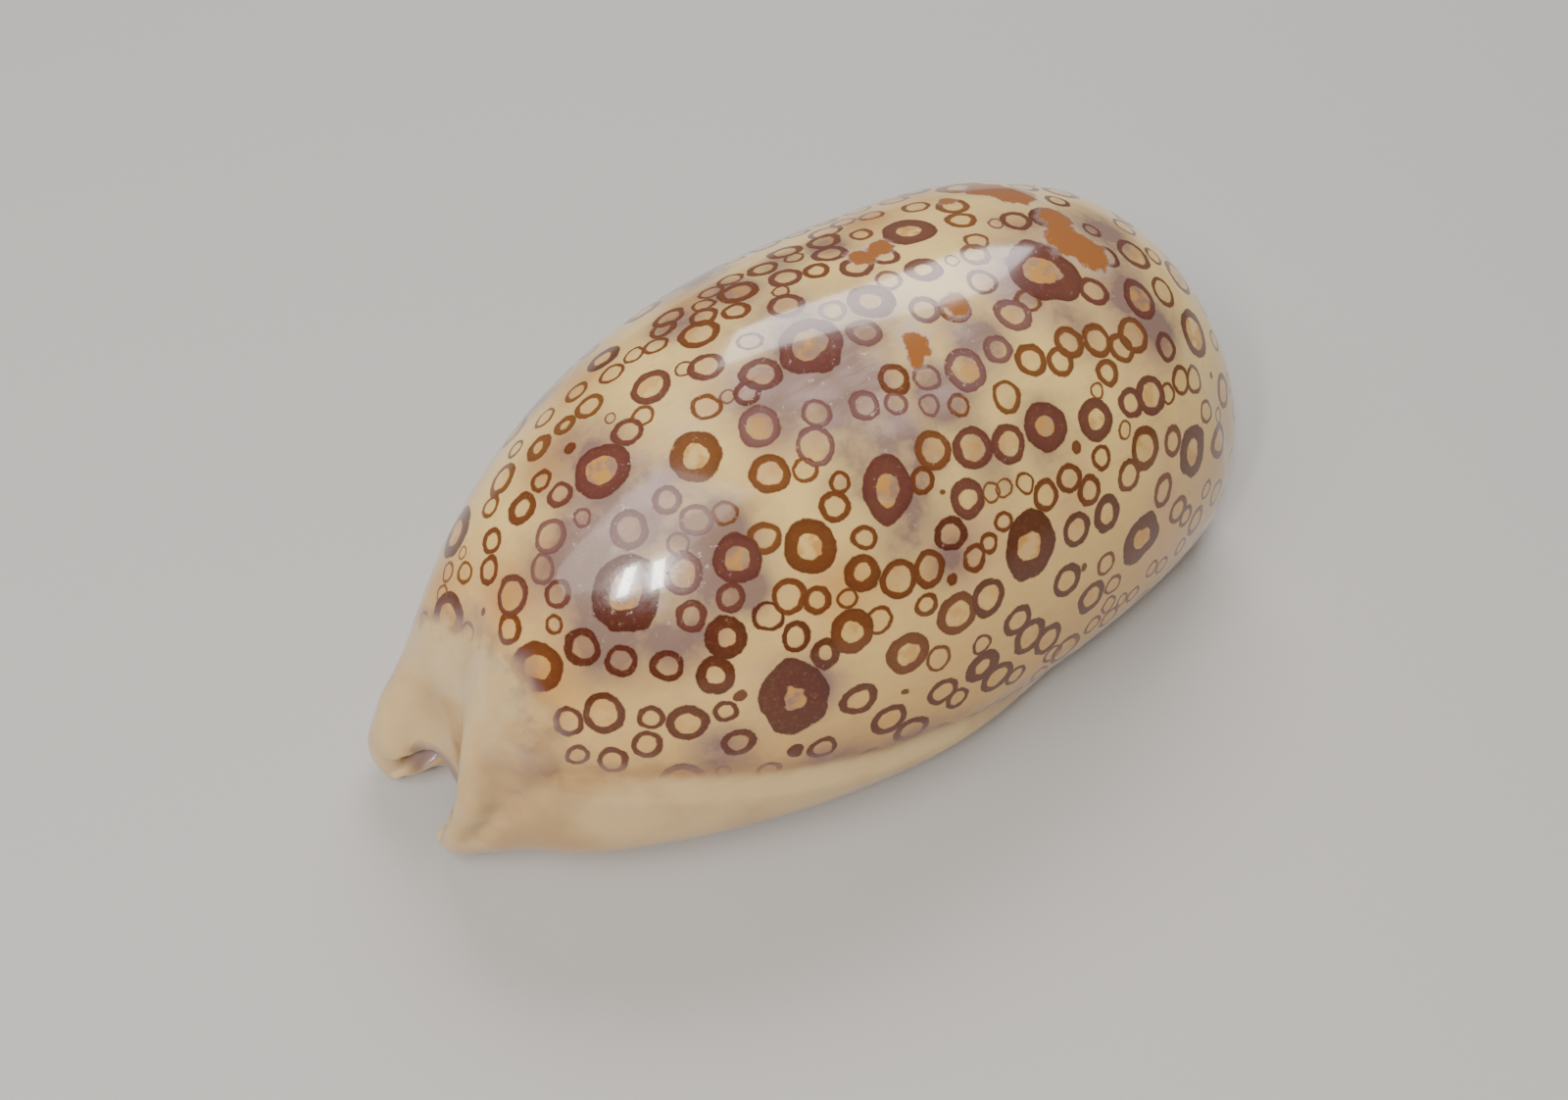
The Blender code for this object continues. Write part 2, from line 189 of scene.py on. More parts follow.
# Spots picked in the photograph, by line and colour: pixel across, pixel down, width in
# pixels and, for a few, height beside width
PICKED_SPOTS = {
    (MEDIUM, GOLDEN): (
        (588, 400, 31), (601, 414, 36), (525, 441, 40), (526, 458, 25), (512, 489, 41),
        (500, 517, 28), (879, 239, 27), (972, 210, 36), (980, 224, 33), (1044, 191, 33),
    ),
    (THIN, GOLDEN): (
        (556, 426, 28), (472, 563, 15), (474, 584, 26), (457, 583, 23), (451, 606, 22),
        (860, 227, 28), (889, 220, 29), (875, 215, 32), (911, 205, 31), (921, 194, 22),
        (934, 211, 31),
    ),
    (THICK, GOLDEN): (
        (576, 434, 28), (549, 457, 34), (980, 191, 50),
    ),
    (THICK, BROWN): (
        (532, 519, 37), (827, 557, 58), (880, 585, 40), (869, 644, 49), (547, 681, 56),
        (926, 667, 49),
    ),
    (MEDIUM, BROWN): (
        (552, 490, 26), (502, 552, 31), (499, 582, 31), (519, 641, 33), (477, 646, 25),
        (566, 637, 21), (857, 492, 24), (852, 517, 34), (941, 490, 30), (882, 548, 28),
        (917, 591, 43), (948, 580, 40), (806, 608, 38), (834, 612, 31), (945, 617, 27),
        (977, 626, 47), (676, 336, 32), (682, 324, 37), (717, 323, 34), (713, 340, 45),
        (751, 317, 33), (753, 298, 44), (778, 274, 35), (832, 276, 29), (841, 246, 39),
        (801, 257, 37), (974, 315, 36), (912, 387, 36), (1124, 467, 28), (1248, 399, 37),
        (1169, 457, 45), (1197, 450, 32), (1244, 450, 40), (1152, 485, 35), (1187, 501, 35),
        (1202, 520, 33), (1210, 526, 26), (1220, 531, 33), (1112, 500, 32), (1091, 488, 33),
        (1067, 505, 34), (1024, 532, 24), (1009, 555, 25), (994, 570, 29), (1034, 707, 34),
        (1010, 724, 33),
    ),
    (MEDIUM, VIOLET): (
        (572, 504, 30), (569, 606, 30), (640, 441, 36), (663, 395, 46), (705, 629, 34),
        (762, 401, 30), (776, 381, 44), (993, 457, 47), (746, 610, 32), (885, 776, 34),
        (955, 748, 45), (989, 736, 28), (784, 786, 30), (737, 787, 20), (801, 283, 37),
        (802, 312, 40), (721, 374, 38), (846, 259, 37), (874, 272, 36), (902, 261, 34),
        (1037, 225, 35), (1114, 235, 22), (1116, 297, 36), (1164, 305, 47), (1190, 354, 33),
        (1219, 340, 50), (1029, 453, 43), (1154, 411, 36), (1175, 403, 44),
    ),
    (THIN, VIOLET): (
        (522, 607, 44, 1.05), (622, 427, 15), (698, 376, 21), (1002, 287, 34), (1157, 259, 42),
        (1147, 231, 28),
    ),
    (THIN, FADED): (
        (594, 529, 22), (561, 547, 39), (553, 580, 31), (710, 530, 35), (692, 555, 25),
        (742, 404, 18), (834, 422, 33), (832, 455, 42), (914, 412, 27), (949, 414, 25),
        (907, 286, 29), (1016, 228, 19), (946, 385, 30),
    ),
    (THICK, DARK): (
        (457, 629, 50), (466, 543, 60), (636, 606, 72, 1.15), (741, 650, 45), (731, 689, 42),
        (842, 667, 34), (615, 366, 42), (1072, 223, 45), (1256, 362, 58), (1217, 460, 53),
        (1129, 524, 40), (1052, 558, 66, 1.2), (1164, 551, 60), (1003, 680, 42),
    ),
    (THIN, BROWN): (
        (431, 637, 28), (425, 667, 22), (864, 611, 24), (897, 633, 31), (958, 672, 31),
        (624, 381, 31), (647, 362, 26), (669, 353, 29), (718, 311, 26), (725, 298, 28),
        (745, 285, 30), (797, 297, 20), (841, 237, 36), (810, 263, 22), (1187, 298, 35),
        (1239, 347, 24), (1226, 311, 27), (1202, 282, 42), (1177, 261, 24), (1192, 401, 24),
        (1205, 388, 32), (1219, 387, 31), (1254, 390, 22), (1231, 420, 26), (1243, 424, 18),
        (1264, 424, 31), (1231, 499, 23), (1241, 502, 30), (1255, 471, 30), (1204, 558, 22),
        (1046, 493, 23), (1129, 575, 29), (1136, 596, 26), (1131, 617, 23), (1145, 612, 20),
        (1156, 606, 22), (1175, 581, 22), (1185, 577, 22), (1074, 667, 27), (1087, 662, 42),
        (1131, 630, 28), (1115, 637, 24), (1060, 687, 25),
    ),
    (FILLED, TAN): (
        (493, 624, 8), (962, 502, 6), (1099, 456, 14), (1236, 383, 8),
    ),
    (FILLED, BROWN): (
        (581, 457, 15), (971, 591, 13), (756, 710, 15), (924, 705, 8), (1106, 579, 9),
    ),
    (THICK, VIOLET): (
        (614, 479, 62), (905, 499, 52, 1.45), (987, 509, 42), (753, 570, 52), (826, 354, 75),
        (889, 307, 50), (926, 236, 55), (942, 275, 39), (1062, 275, 82), (1067, 435, 54),
        (1118, 428, 46),
    ),
    (THIN, TAN): (
        (656, 424, 26), (720, 415, 34), (822, 480, 28), (978, 413, 27), (740, 524, 27),
        (997, 246, 28), (972, 266, 17), (1049, 306, 30), (1027, 405, 36), (1148, 439, 20),
        (1120, 399, 18), (1025, 498, 21), (1012, 502, 22),
    ),
    (THICK, TAN): (
        (710, 465, 56),
    ),
    (MEDIUM, FADED): (
        (642, 540, 41), (681, 510, 32), (697, 585, 45), (774, 435, 46), (882, 413, 33),
        (850, 317, 31), (882, 339, 37), (944, 316, 36), (1034, 321, 40), (1018, 356, 34),
        (985, 377, 48),
    ),
    (MEDIUM, TAN): (
        (786, 483, 43), (952, 459, 43), (780, 549, 35), (995, 259, 34), (1091, 349, 36),
        (1119, 347, 38), (1144, 355, 34), (1157, 342, 42), (1082, 369, 33), (1052, 367, 37),
        (1130, 380, 31),
    ),
    (MEDIUM, DARK): (
        (970, 544, 38), (812, 649, 34), (594, 661, 40), (634, 674, 35), (681, 680, 35),
        (580, 736, 34), (616, 728, 46), (665, 732, 30), (660, 760, 34), (701, 738, 45),
        (589, 770, 26), (625, 776, 34), (697, 795, 50), (740, 726, 28), (754, 757, 37),
        (877, 714, 41), (907, 734, 42), (930, 744, 40), (962, 706, 38), (977, 712, 30),
        (839, 763, 31), (1079, 205, 29), (1131, 261, 30), (1099, 540, 39), (1009, 610, 42),
        (1089, 592, 39), (1114, 609, 40), (1039, 633, 36), (1051, 649, 45), (1069, 652, 40),
        (1018, 690, 42),
    ),
    (THIN, DARK): (
        (784, 629, 33), (765, 348, 27), (1002, 657, 25), (1036, 689, 28),
    ),
    (BROAD, DARK): (
        (811, 713, 70, 1.28),
    ),
    (FILLED, DARK): (
        (812, 766, 18),
    ),
}

# Patches of tint picked in the photograph: pixel across, pixel down, width in pixels
MAUVE_CLOUDS = (
    (605, 480, 100), (668, 530, 110), (712, 590, 96), (642, 604, 116), (720, 545, 80),
    (590, 560, 90), (620, 650, 70), (690, 640, 70), (822, 352, 110), (790, 400, 84),
    (860, 400, 96), (905, 470, 96), (930, 530, 76), (965, 560, 50), (880, 330, 60), (960, 400, 60),
    (1060, 262, 90), (1122, 236, 66), (1140, 290, 84), (1180, 330, 60), (1100, 330, 50),
    (760, 600, 44), (820, 700, 56), (740, 770, 50), (850, 782, 60), (930, 765, 60),
    (1062, 440, 56), (1010, 470, 50), (690, 330, 46), (745, 298, 50), (795, 270, 46),
    (845, 252, 40), (1000, 350, 60), (1040, 300, 50),
)
WORN_PATCHES = (
    (1008, 193, 40), (1034, 198, 40), (1077, 222, 30), (1090, 246, 40), (1112, 258, 38),
    (937, 352, 26), (934, 366, 18), (975, 310, 26), (880, 262, 24), (898, 252, 22), (966, 205, 16),
)
GOLDEN_PATCHES = (
    (520, 440, 110), (470, 520, 90), (590, 385, 80), (450, 590, 60), (560, 470, 60),
    (700, 310, 60), (880, 225, 60), (930, 200, 60), (515, 610, 60), (560, 690, 60), (860, 600, 60),
)
# Streaks of the whitish film along the crest, partly worn glaze and partly painted sheen: pixel across,
# pixel down, width in pixels
GLARE_STREAKS = (
    (700, 430, 50), (760, 395, 50), (830, 410, 54), (880, 372, 50), (930, 330, 54), (985, 345, 44),
    (1030, 300, 44), (900, 420, 50), (960, 390, 44), (660, 500, 60), (620, 540, 50),
    (680, 600, 50),
)

# Spots on the sides that the photograph doesn't show, in millimetres
SCATTER_SEED = 11
SCATTER_TRIES = 9000
SCATTER_RADIUS = (0.75, 1.9)
BIG_SPOT_RADIUS = (2.1, 3.4)
BIG_SPOTS = 26
SPOT_GAP = 0.12
FACING = 0.14              # how squarely the camera must see a place for it to count as shown

# How spots are drawn, in millimetres
SPOT_SLOTS = 3             # how many spots may meet in one place
SPOT_SLIMNESS = (0.95, 1.05)
SPOT_WANDER = 0.62
SPOT_FRAY = 0.16
LINE_SOFTNESS = 0.07
LINE_STRENGTH = 0.96
FACES_AT_ONCE = 4000
TINT_FALL = 0.55           # how fast a tint fades past the edge of its patch
SPOT_PARTS = ("centre", "wide", "tall", "looks")
NO_SPOT = ((1000.0, 0.0, 0.0), (1.0, 0.0, 0.0), (0.0, 1.0, 0.0), (0.3, 0.0, 1.0))

# Where the enamel changes, in millimetres
MARGIN_LEAST = 4.5
FRONT_CALLUS_END = -32.4
FRONT_CALLUS_SKEW = 0.42
SPIRE_CALLUS = 37.0
SPIRE_CALLUS_LEAN = 0.25
SPIRE_CALLUS_LEVEL = 10.0
EDGE_WANDER = (3.0, 5.0, 4.0)  # of the callus at the margins, the front and the spire end
CREASE_SHADE = (0.4, 1.0)        # centre and spread of the painted shade along the crease above the inner-lip margin
SMUDGE = (-0.2, 1.0)       # the same of the violet smudge where the front callus ends
MILKY_AHEAD = 1.8
CREAM_WANDER = 12.0
MAUVE_BANDS = (-19.0, -1.0, 20.0)
MAUVE_BAND_SPREAD = 6.5
BAND_WANDER = 10.0
WORN_EDGE = (0.47, 0.02)
BASE_BLOTCHES = ((-11.0, -12.0), (-12.5, 15.0), (11.5, -13.0), (13.5, 16.0))
BLOTCH_SIZE = (5.2, 9.5)
BLOTCH_WANDER = 0.9
BASE_WANDER = 2.0
# Painted shade in tan on the front callus: the hollow's centre and the width of its shade
SHADED_HOLLOW_CENTRE = (-0.5, -36.2, 10.0)
HOLLOW_SHADE_WIDTH = 3.4
# Painted shade inside the front canal: its middle, its half width, and its ends in y and in z
CANAL_SHADE = (0.3, (2.3, 3.3), ((-39.6, -38.0), (-34.0, -30.0)), ((0.2, 0.9), (5.0, 6.4)))
# Where the inside turns lilac, a colour darkened with painted shade: its ramps in y at the front and at
# the spire end
INSIDE_TINT_AND_SHADE = ((-38.8, -36.0), (34.0, 37.5))

# Noises of the enamel: waves in a millimetre, the same or one for each way, detail and roughness
NOISES = {
    "wander": (0.16, 3.0, 0.5), "veil patches": (0.45, 3.0, 0.6), "clouds": (0.07, 4.0, 0.55),
    "rosy": (0.11, 3.0, 0.5), "mauve": (0.17, 4.0, 0.6), "grain": ((1.6, 0.22, 1.6), 3.0, 0.6),
    "dust": (0.9, 3.0, 0.65), "streaks": ((0.55, 0.12, 0.55), 4.0, 0.65),
    "flakes": (1.9, 4.0, 0.72), "mottle": (2.2, 3.0, 0.7), "shift": (0.55, 3.0, 0.55),
    "fray": (2.8, 3.0, 0.6), "uneven": (0.42, 2.0, 0.5), "lumpy": (0.30, 1.0, 0.4),
    "ragged": (0.8, 3.0, 0.5), "worn": (1.1, 3.0, 0.7), "bared": (0.8, 4.0, 0.65),
    "blotches": (0.22, 4.0, 0.6), "pinkish": (0.12, 2.0, 0.5), "broken": (0.38, 3.0, 0.55),
    "scuffs": (2.6, 3.0, 0.7), "ripple": ((0.8, 0.25, 0.8), 3.0, 0.5), "teeth": (0.9, 4.0, 0.6),
}

# Where each mask rises from 0 to 1, in the strength of its noise or in millimetres
RISES = {
    "callus": (-0.9, 0.7), "margin veil": (0.2, 3.4), "front veil": (0.0, 1.5),
    "veil patches": (0.36, 0.62), "crease_shade": (6.0, 9.0), "smudge": (-1.5, 0.5),
    "milky": (0.6, 3.0), "milky height": (11.5, 14.5), "base": (2.2, 5.5), "cream": (8.0, 30.0),
    "rosy": (0.45, 0.7), "mauve": (0.38, 0.66), "unseen side": (9.0, 14.0), "grain": (0.5, 0.8),
    "streaks": (0.40, 0.62), "flakes": (0.62, 0.70), "mottle": (0.5, 0.72), "lumpy": (1.9, 2.6),
    "ragged": (0.42, 0.6), "big centre": (1.2, 2.1), "worn": (0.56, 0.7), "halo": (0.20, 0.45),
    "bared": (0.47, 0.52), "blotch": (0.75, 1.0), "blotch height": (3.0, 7.0),
    "tan": (0.40, 0.66), "shaded ridge side": (4.0, 8.0), "shaded ridge end": (-33.5, -30.0),
    "pinkish": (0.45, 0.75), "pinkish end": (-36.0, -30.0), "broken": (0.42, 0.60),
    "teeth": (0.4, 0.7), "tooth height": (0.3, 1.3),
}

# Colours of the enamel
CREAM = (0.88, 0.63, 0.225)
FAWN = (0.60, 0.35, 0.115)
ROSY_FAWN = (0.58, 0.32, 0.19)
GOLDEN_FAWN = (0.56, 0.26, 0.065)
MAUVE = (0.19, 0.115, 0.115)
CREASE_SHADE_BROWN = (0.34, 0.18, 0.085)
BROWN_DUST = (0.30, 0.15, 0.07)
WHITISH_FILM_AND_SHEEN = (0.52, 0.38, 0.37)
WHITE_FLAKE = (0.82, 0.74, 0.70)
MOTTLE = (0.22, 0.070, 0.016)
EDGE_BROWN = (0.55, 0.30, 0.20)
VEILED_VIOLET = (0.17, 0.095, 0.105)
CENTRE_TAN = (0.56, 0.27, 0.055)
BARED_ORANGE = (0.33, 0.115, 0.026)
IVORY = (0.62, 0.44, 0.215)
DEEP_IVORY_AND_SHADE = (0.48, 0.30, 0.135)
MILKY = (0.62, 0.49, 0.32)
PINKISH = (0.50, 0.31, 0.21)
BASE_FAWN = (0.62, 0.42, 0.25)
BLOTCH_BROWN = (0.085, 0.020, 0.007)
INSIDE_LILAC_AND_SHADE = (0.36, 0.25, 0.24)
CANAL_SHADE_BROWN = (0.16, 0.085, 0.055)
TOOTH_BROWN = (0.20, 0.060, 0.020)
TOOTH_DARK = (0.11, 0.030, 0.010)
FLOOR_GREY = (0.52, 0.51, 0.50)
LINE_COLOURS = (
    (GOLDEN, (0.170, 0.050, 0.002)), (TAN, (0.160, 0.048, 0.008)), (BROWN, (0.135, 0.030, 0.001)),
    (DARK, (0.088, 0.012, 0.001)), (VIOLET, (0.125, 0.032, 0.022)), (FADED, (0.180, 0.080, 0.075)),
)

# Gloss of the enamel
COAT_WEIGHT = 0.3
COAT_ROUGHNESS = 0.03
ENAMEL_SPECULAR = 0.42

# Studio: each light's place and size in metres, power in watts, colour and roll in degrees
LIGHTS = {
    "window": ((-0.35, 0.32, 0.57), (0.5, 0.2), 3.2, (1.0, 0.97, 0.95), 0.0),
    "soft_key": ((0.10, -0.40, 0.65), (0.5, 0.5), 2.8, (1.0, 0.95, 0.88), 0.0),
    "left_strip": ((0.189, -0.361, 0.365), (0.025, 0.10), 0.9, (1.0, 0.96, 0.90), 22.0),
    "right_strip": ((0.233, -0.305, 0.365), (0.025, 0.10), 0.9, (1.0, 0.96, 0.90), 22.0),
}
SKY_COLOUR = (0.86, 0.85, 0.84)
SKY_STRENGTH = 0.32
FLOOR_HALF = 3.0
FLOOR_ROUGHNESS = 0.7


class Graph:
    """A node tree that fills up as expressions on its values are written."""

    def __init__(self, tree):
        self.tree = tree

    def node(self, kind, settings=(), values=(), output=0):
        """Adds a node. Its settings come first, then the values or links of its sockets."""
        made = self.tree.nodes.new(kind)
        for name, setting in dict(settings).items():
            if name == "stops":
                set_stops(made.color_ramp, setting)
            else:
                setattr(made, name, setting)
        for key, value in dict(values).items():
            socket = made.inputs[key]
            if isinstance(value, Value):
                self.tree.links.new(value.socket, socket)
            else:
                socket.default_value = value
        return Value(self, made.outputs[output])

    def math(self, operation, *values):
        return self.node("ShaderNodeMath", {"operation": operation}, enumerate(values))

    def join(self, x, y, z):
        return self.node("ShaderNodeCombineXYZ", values={"X": x, "Y": y, "Z": z})


def operator(operation, reflected=False):
    """A method of a value that adds a Math node. Reflected, the other value comes first."""
    def method(value, other):
        pair = (other, value) if reflected else (value, other)
        return value.graph.math(operation, *pair)
    return method


class Value:
    """An output socket. Arithmetic on it adds Math nodes to its graph."""

    def __init__(self, graph, socket):
        self.graph = graph
        self.socket = socket

    __add__ = __radd__ = operator("ADD")
    __mul__ = __rmul__ = operator("MULTIPLY")
    __sub__ = operator("SUBTRACT")
    __rsub__ = operator("SUBTRACT", reflected=True)
    __truediv__ = operator("DIVIDE")
    __rtruediv__ = operator("DIVIDE", reflected=True)
    __pow__ = operator("POWER")
    __gt__ = operator("GREATER_THAN")
    __lt__ = operator("LESS_THAN")

    def __neg__(self):
        return self * -1.0

    def part(self, axis):
        return self.graph.node("ShaderNodeSeparateXYZ", values={0: self}, output=axis)


def function(operation):
    """A function of values that adds a Math node."""
    return lambda value, *others: value.graph.math(operation, value, *others)


sine = function("SINE")
cosine = function("COSINE")
absolute = function("ABSOLUTE")
root_of = function("SQRT")
exponential = function("EXPONENT")
whole_part = function("FLOOR")
larger = function("MAXIMUM")
smaller = function("MINIMUM")


def within(value):
    """The value held between 0 and 1."""
    return smaller(larger(value, 0.0), 1.0)


def value_mix(share, first, second):
    return share.graph.node("ShaderNodeMix", values={0: share, 2: first, 3: second})


def choose(mask, yes, no):
    return value_mix(mask, no, yes)


def smooth_step(value, low, high):
    settings = {"interpolation_type": "SMOOTHSTEP"}
    values = {"Value": value, "From Min": low, "From Max": high}
    return value.graph.node("ShaderNodeMapRange", settings, values)


def bump(value, centre, spread):
    off = (value - centre) / spread
    return exponential(-(off * off))


def set_stops(ramp, stops):
    """stops are (place, colour) pairs, from 0 to 1."""
    while len(ramp.elements) < len(stops):
        ramp.elements.new(1.0)
    for element, (place, colour) in zip(ramp.elements, stops):
        element.position = place
        element.color = (*colour, 1.0)


def colour_mix(graph, share, first, second, kind="MIX"):
    values = {0: share, 6: first, 7: second}
    for key in (6, 7):
        if isinstance(values[key], tuple):
            values[key] = (*values[key], 1.0)
    settings = {"data_type": "RGBA", "blend_type": kind}
    return graph.node("ShaderNodeMix", settings, values, 2)


def painted(graph, colour, *layers):
    """The colour under layers, each a pair of mask and colour, laid on one after another."""
    for mask, over in layers:
        colour = colour_mix(graph, mask, colour, over)
    return colour


def vector_math(graph, operation, *vectors, output=0, scale=None):
    values = dict(enumerate(vectors))
    if scale is not None:
        values["Scale"] = scale
    return graph.node("ShaderNodeVectorMath", {"operation": operation}, values, output)


def distance_to(graph, place, centre):
    return vector_math(graph, "DISTANCE", place, centre, output="Value")


def dot(graph, first, second):
    return vector_math(graph, "DOT_PRODUCT", first, second, output="Value")


def attribute(graph, name, output="Fac"):
    return graph.node("ShaderNodeAttribute", {"attribute_name": name}, output=output)


def quarter(share, curve):
    """1 at share 0, falling to 0 at share 1 along a rounded shoulder."""
    power, root = curve
    return larger(1.0 - within(share) ** power, 0.0) ** (1.0 / root)


def outline(along, peak_at, ends, peak, front_curve, spire_curve):
    front, spire = ends
    before = front + (peak - front) * quarter((peak_at - along) / peak_at, front_curve)
    after = spire + (peak - spire) * quarter((along - peak_at) / (1.0 - peak_at), spire_curve)
    return choose(along < peak_at, before, after)


class ShellShape:
    """The shell's surface as expressions in one graph, from its named sizes."""

    def __init__(self, graph, sizes):
        self.graph = graph
        self.length = sizes["Length"]
        self.peak_width = sizes["Half width"]
        self.peak_height = sizes["Height"]
        self.back_wall = sizes["Back wall"]
        self.side_wall = sizes["Side wall"]

    def set_station(self, along):
        """Works out everything that depends only on the place along the shell."""
        self.along = along
        ends = (FRONT_HALF_WIDTH, SPIRE_HALF_WIDTH)
        curves = (FRONT_PLAN_CURVE, SPIRE_PLAN_CURVE)
        self.width = outline(along, WIDEST_AT, ends, self.peak_width, *curves)
        self.width = self.width + LOBE_FLARE * bump(along, LOBE_AT, LOBE_SPREAD)
        ends = (FRONT_HEIGHT, SPIRE_HEIGHT)
        curves = (FRONT_SIDE_CURVE, SPIRE_SIDE_CURVE)
        self.top = outline(along, HIGHEST_AT, ends, self.peak_height, *curves)
        self.mouth = MOUTH_OFFSET + MOUTH_BEND * smooth_step(along, *MOUTH_BENDS)
        narrowing = smooth_step(along, *MOUTH_NARROWS)
        self.half_gap = 0.5 * (MOUTH_FRONT_GAP + (MOUTH_SPIRE_GAP - MOUTH_FRONT_GAP) * narrowing)
        self.level = self.top * WIDEST_LEVEL

    def c_curve(self, turn, feet, floor, sides, level, top):
        """A point of one side of the C. feet and sides are (left, right) values of x."""
        on_right = turn < np.pi / 2
        on_back = (turn > 0.0) * (turn < np.pi)
        side = choose(on_right, sides[1], sides[0])
        foot = choose(on_right, feet[1], feet[0])
        centre = 0.5 * (sides[0] + sides[1])
        across = absolute(cosine(turn))
        upward = absolute(sine(turn))
        base_x = foot + (side - foot) * across ** (2.0 / BASE_SQUARENESS)
        base_z = level - (level - floor) * upward ** (2.0 / BASE_SQUARENESS)
        back_x = centre + (side - centre) * across
        back_z = level + (top - level) * upward ** BACK_FULLNESS
        return choose(on_back, back_x, base_x), choose(on_back, back_z, base_z)

    def callus(self, x, z):
        """Outward push: the roll on the inner-lip margin, the outer-lip lobe, the front forms."""
        y = (self.along - 0.5) * self.length
        reach = smooth_step(self.along, *ROLL_STARTS) * (1.0 - smooth_step(self.along, *ROLL_ENDS))
        roll = MARGIN_ROLL * bump(z, MARGIN_ROLL_LEVEL, MARGIN_ROLL_THICKNESS) * (x > 0.0) * reach
        lobe = OUTER_LOBE * bump(self.along, *OUTER_LOBE_LENGTH) * bump(z, *OUTER_LOBE_LEVEL)
        at_front = bump(y, *FRONT_FORMS_PLACE) * smooth_step(z, *FRONT_FORMS_LEVEL)
        ridge = FRONT_RIDGE * bump(x, *RIDGE_PLACE)
        hollow = FRONT_HOLLOW * bump(x, *HOLLOW_PLACE)
        edge = MARGIN_EDGE + MARGIN_EDGE_SLOPE * y
        step = MARGIN_STEP * (1.0 - smooth_step(z - edge, -MARGIN_STEP_WIDTH, 0.0))
        step = step * smooth_step(z, *MARGIN_STEP_FOOT)
        groove = MARGIN_GROOVE * bump(z - edge, MARGIN_GROOVE_ABOVE, MARGIN_GROOVE_WIDTH)
        roll = roll + (step - groove) * (x > 0.0) * reach
        return roll + lobe * (x < 0.0) + (ridge - hollow) * at_front

    def outer(self, turn):
        reach = self.half_gap + LIP_ROUND
        feet = (self.mouth - reach, self.mouth + reach)
        sides = (-self.width, self.width)
        x, z = self.c_curve(turn, feet, 0.0, sides, self.level, self.top)
        push = self.callus(x, z)
        rise = z - self.level
        away = root_of(x * x + rise * rise)
        x = x + push * x / away
        z = z + push * rise / away
        lift = END_LIFT * absolute(2.0 * self.along - 1.0) ** END_LIFT_CURVE
        z = larger(z + (lift - RESTING_CUT) * (1.0 - z / self.top), 0.0)
        beside = within((absolute(x - self.mouth) - reach) / LIP_RELIEF_REACH)
        on_base = 1.0 - (turn > 0.0) * (turn < np.pi)
        return x, z + LIP_RELIEF * (1.0 - beside) ** 2 * on_base

    def roof(self):
        thins = smooth_step(self.along, *FRONT_ROOF_THINS)
        thickens = smooth_step(self.along, *SPIRE_WALL_THICKENS)
        front = (FRONT_ROOF - self.back_wall) * (1.0 - thins)
        return self.back_wall + front + (SPIRE_WALL - self.back_wall) * thickens

    def inner(self, turn):
        closed = smooth_step(self.along, *INSIDE_CLOSES)
        opened = smooth_step(self.along, *INSIDE_OPENS) * (1.0 - closed)
        lip = LIP_END_ROUND + (LIP_INNER_ROUND - LIP_END_ROUND) * opened
        reach = self.half_gap + lip
        feet = (self.mouth - reach, self.mouth + reach)
        inside = self.width - self.side_wall
        least = reach + LEAST_LEDGE
        narrowing = smooth_step(self.along, *SIDES_CLOSE_IN)
        left = (self.mouth - least + inside) * narrowing - inside
        right = (self.mouth + least - inside) * narrowing + inside
        sides = (smaller(left, self.mouth - least), larger(right, self.mouth + least))
        floor = smaller(self.top * LIP_SHARE, LIP_HEIGHT)
        level = larger(self.level, floor + LEAST_STEP)
        return self.c_curve(turn, feet, floor, sides, level, self.top - self.roof())

    def notch(self, end, turn, rim_x, depth):
        """How far the wall is pulled back from an end (0 front, 1 spire), as a round notch."""
        fade = (1.0 - smaller(absolute(self.along - end) / NOTCH_FADE, 1.0)) ** 2
        on_back = smooth_step(sine(turn), *NOTCH_ON_BACK)
        half_gap = 0.5 * (MOUTH_SPIRE_GAP if end else MOUTH_FRONT_GAP) + NOTCH_MARGIN
        at_rim = quarter(absolute(rim_x) / half_gap, NOTCH_CURVE)
        behind = 1.0 - smooth_step(absolute(rim_x), *SADDLE)
        settled = smooth_step(absolute(self.along - end), 0.0, SADDLE_SETTLES)
        return depth * value_mix(settled, at_rim, behind) * fade * on_back

    def point(self, turn, on_inner, on_lip, lip_turn, share):
        """A point of the skin. share is how much of the wall's thickness there is."""
        outer_x, outer_z = self.outer(turn)
        inner_x, inner_z = self.inner(turn)
        middle_x = 0.5 * (outer_x + inner_x)
        middle_z = 0.5 * (outer_z + inner_z)
        rim_x = middle_x - self.mouth
        below_top = 1.0 - smooth_step(middle_z, SPIRE_HEIGHT, SPIRE_NOTCH_TOP * SPIRE_HEIGHT)
        y = (self.along - 0.5) * self.length
        y = y + self.notch(0.0, turn, rim_x, FRONT_NOTCH_DEPTH)
        y = y - self.notch(1.0, turn, rim_x, SPIRE_NOTCH_DEPTH) * below_top

        side = choose(turn < np.pi / 2, 1.0, -1.0)
        below = lip_turn < 0.0
        start = choose(below, outer_x, inner_x)
        edge = self.mouth + side * self.half_gap
        lip_x = start + (edge - start) * cosine(lip_turn)
        end_z = choose(below, outer_z, inner_z)
        lip_z = middle_z + (end_z - middle_z) * absolute(sine(lip_turn))
        lip_centre = self.mouth + side * (self.half_gap + 0.5 * LIP_ROUND)

        x = choose(on_lip, lip_x, choose(on_inner, inner_x, outer_x))
        z = choose(on_lip, lip_z, choose(on_inner, inner_z, outer_z))
        centre = choose(on_lip, lip_centre, middle_x)
        x = centre + share * (x - centre)
        z = middle_z + share * (z - middle_z)
        return self.graph.join(x, y, z)


SIZES = {"Length": LENGTH, "Half width": HALF_WIDTH, "Height": HEIGHT,
         "Back wall": BACK_WALL, "Side wall": SIDE_WALL}


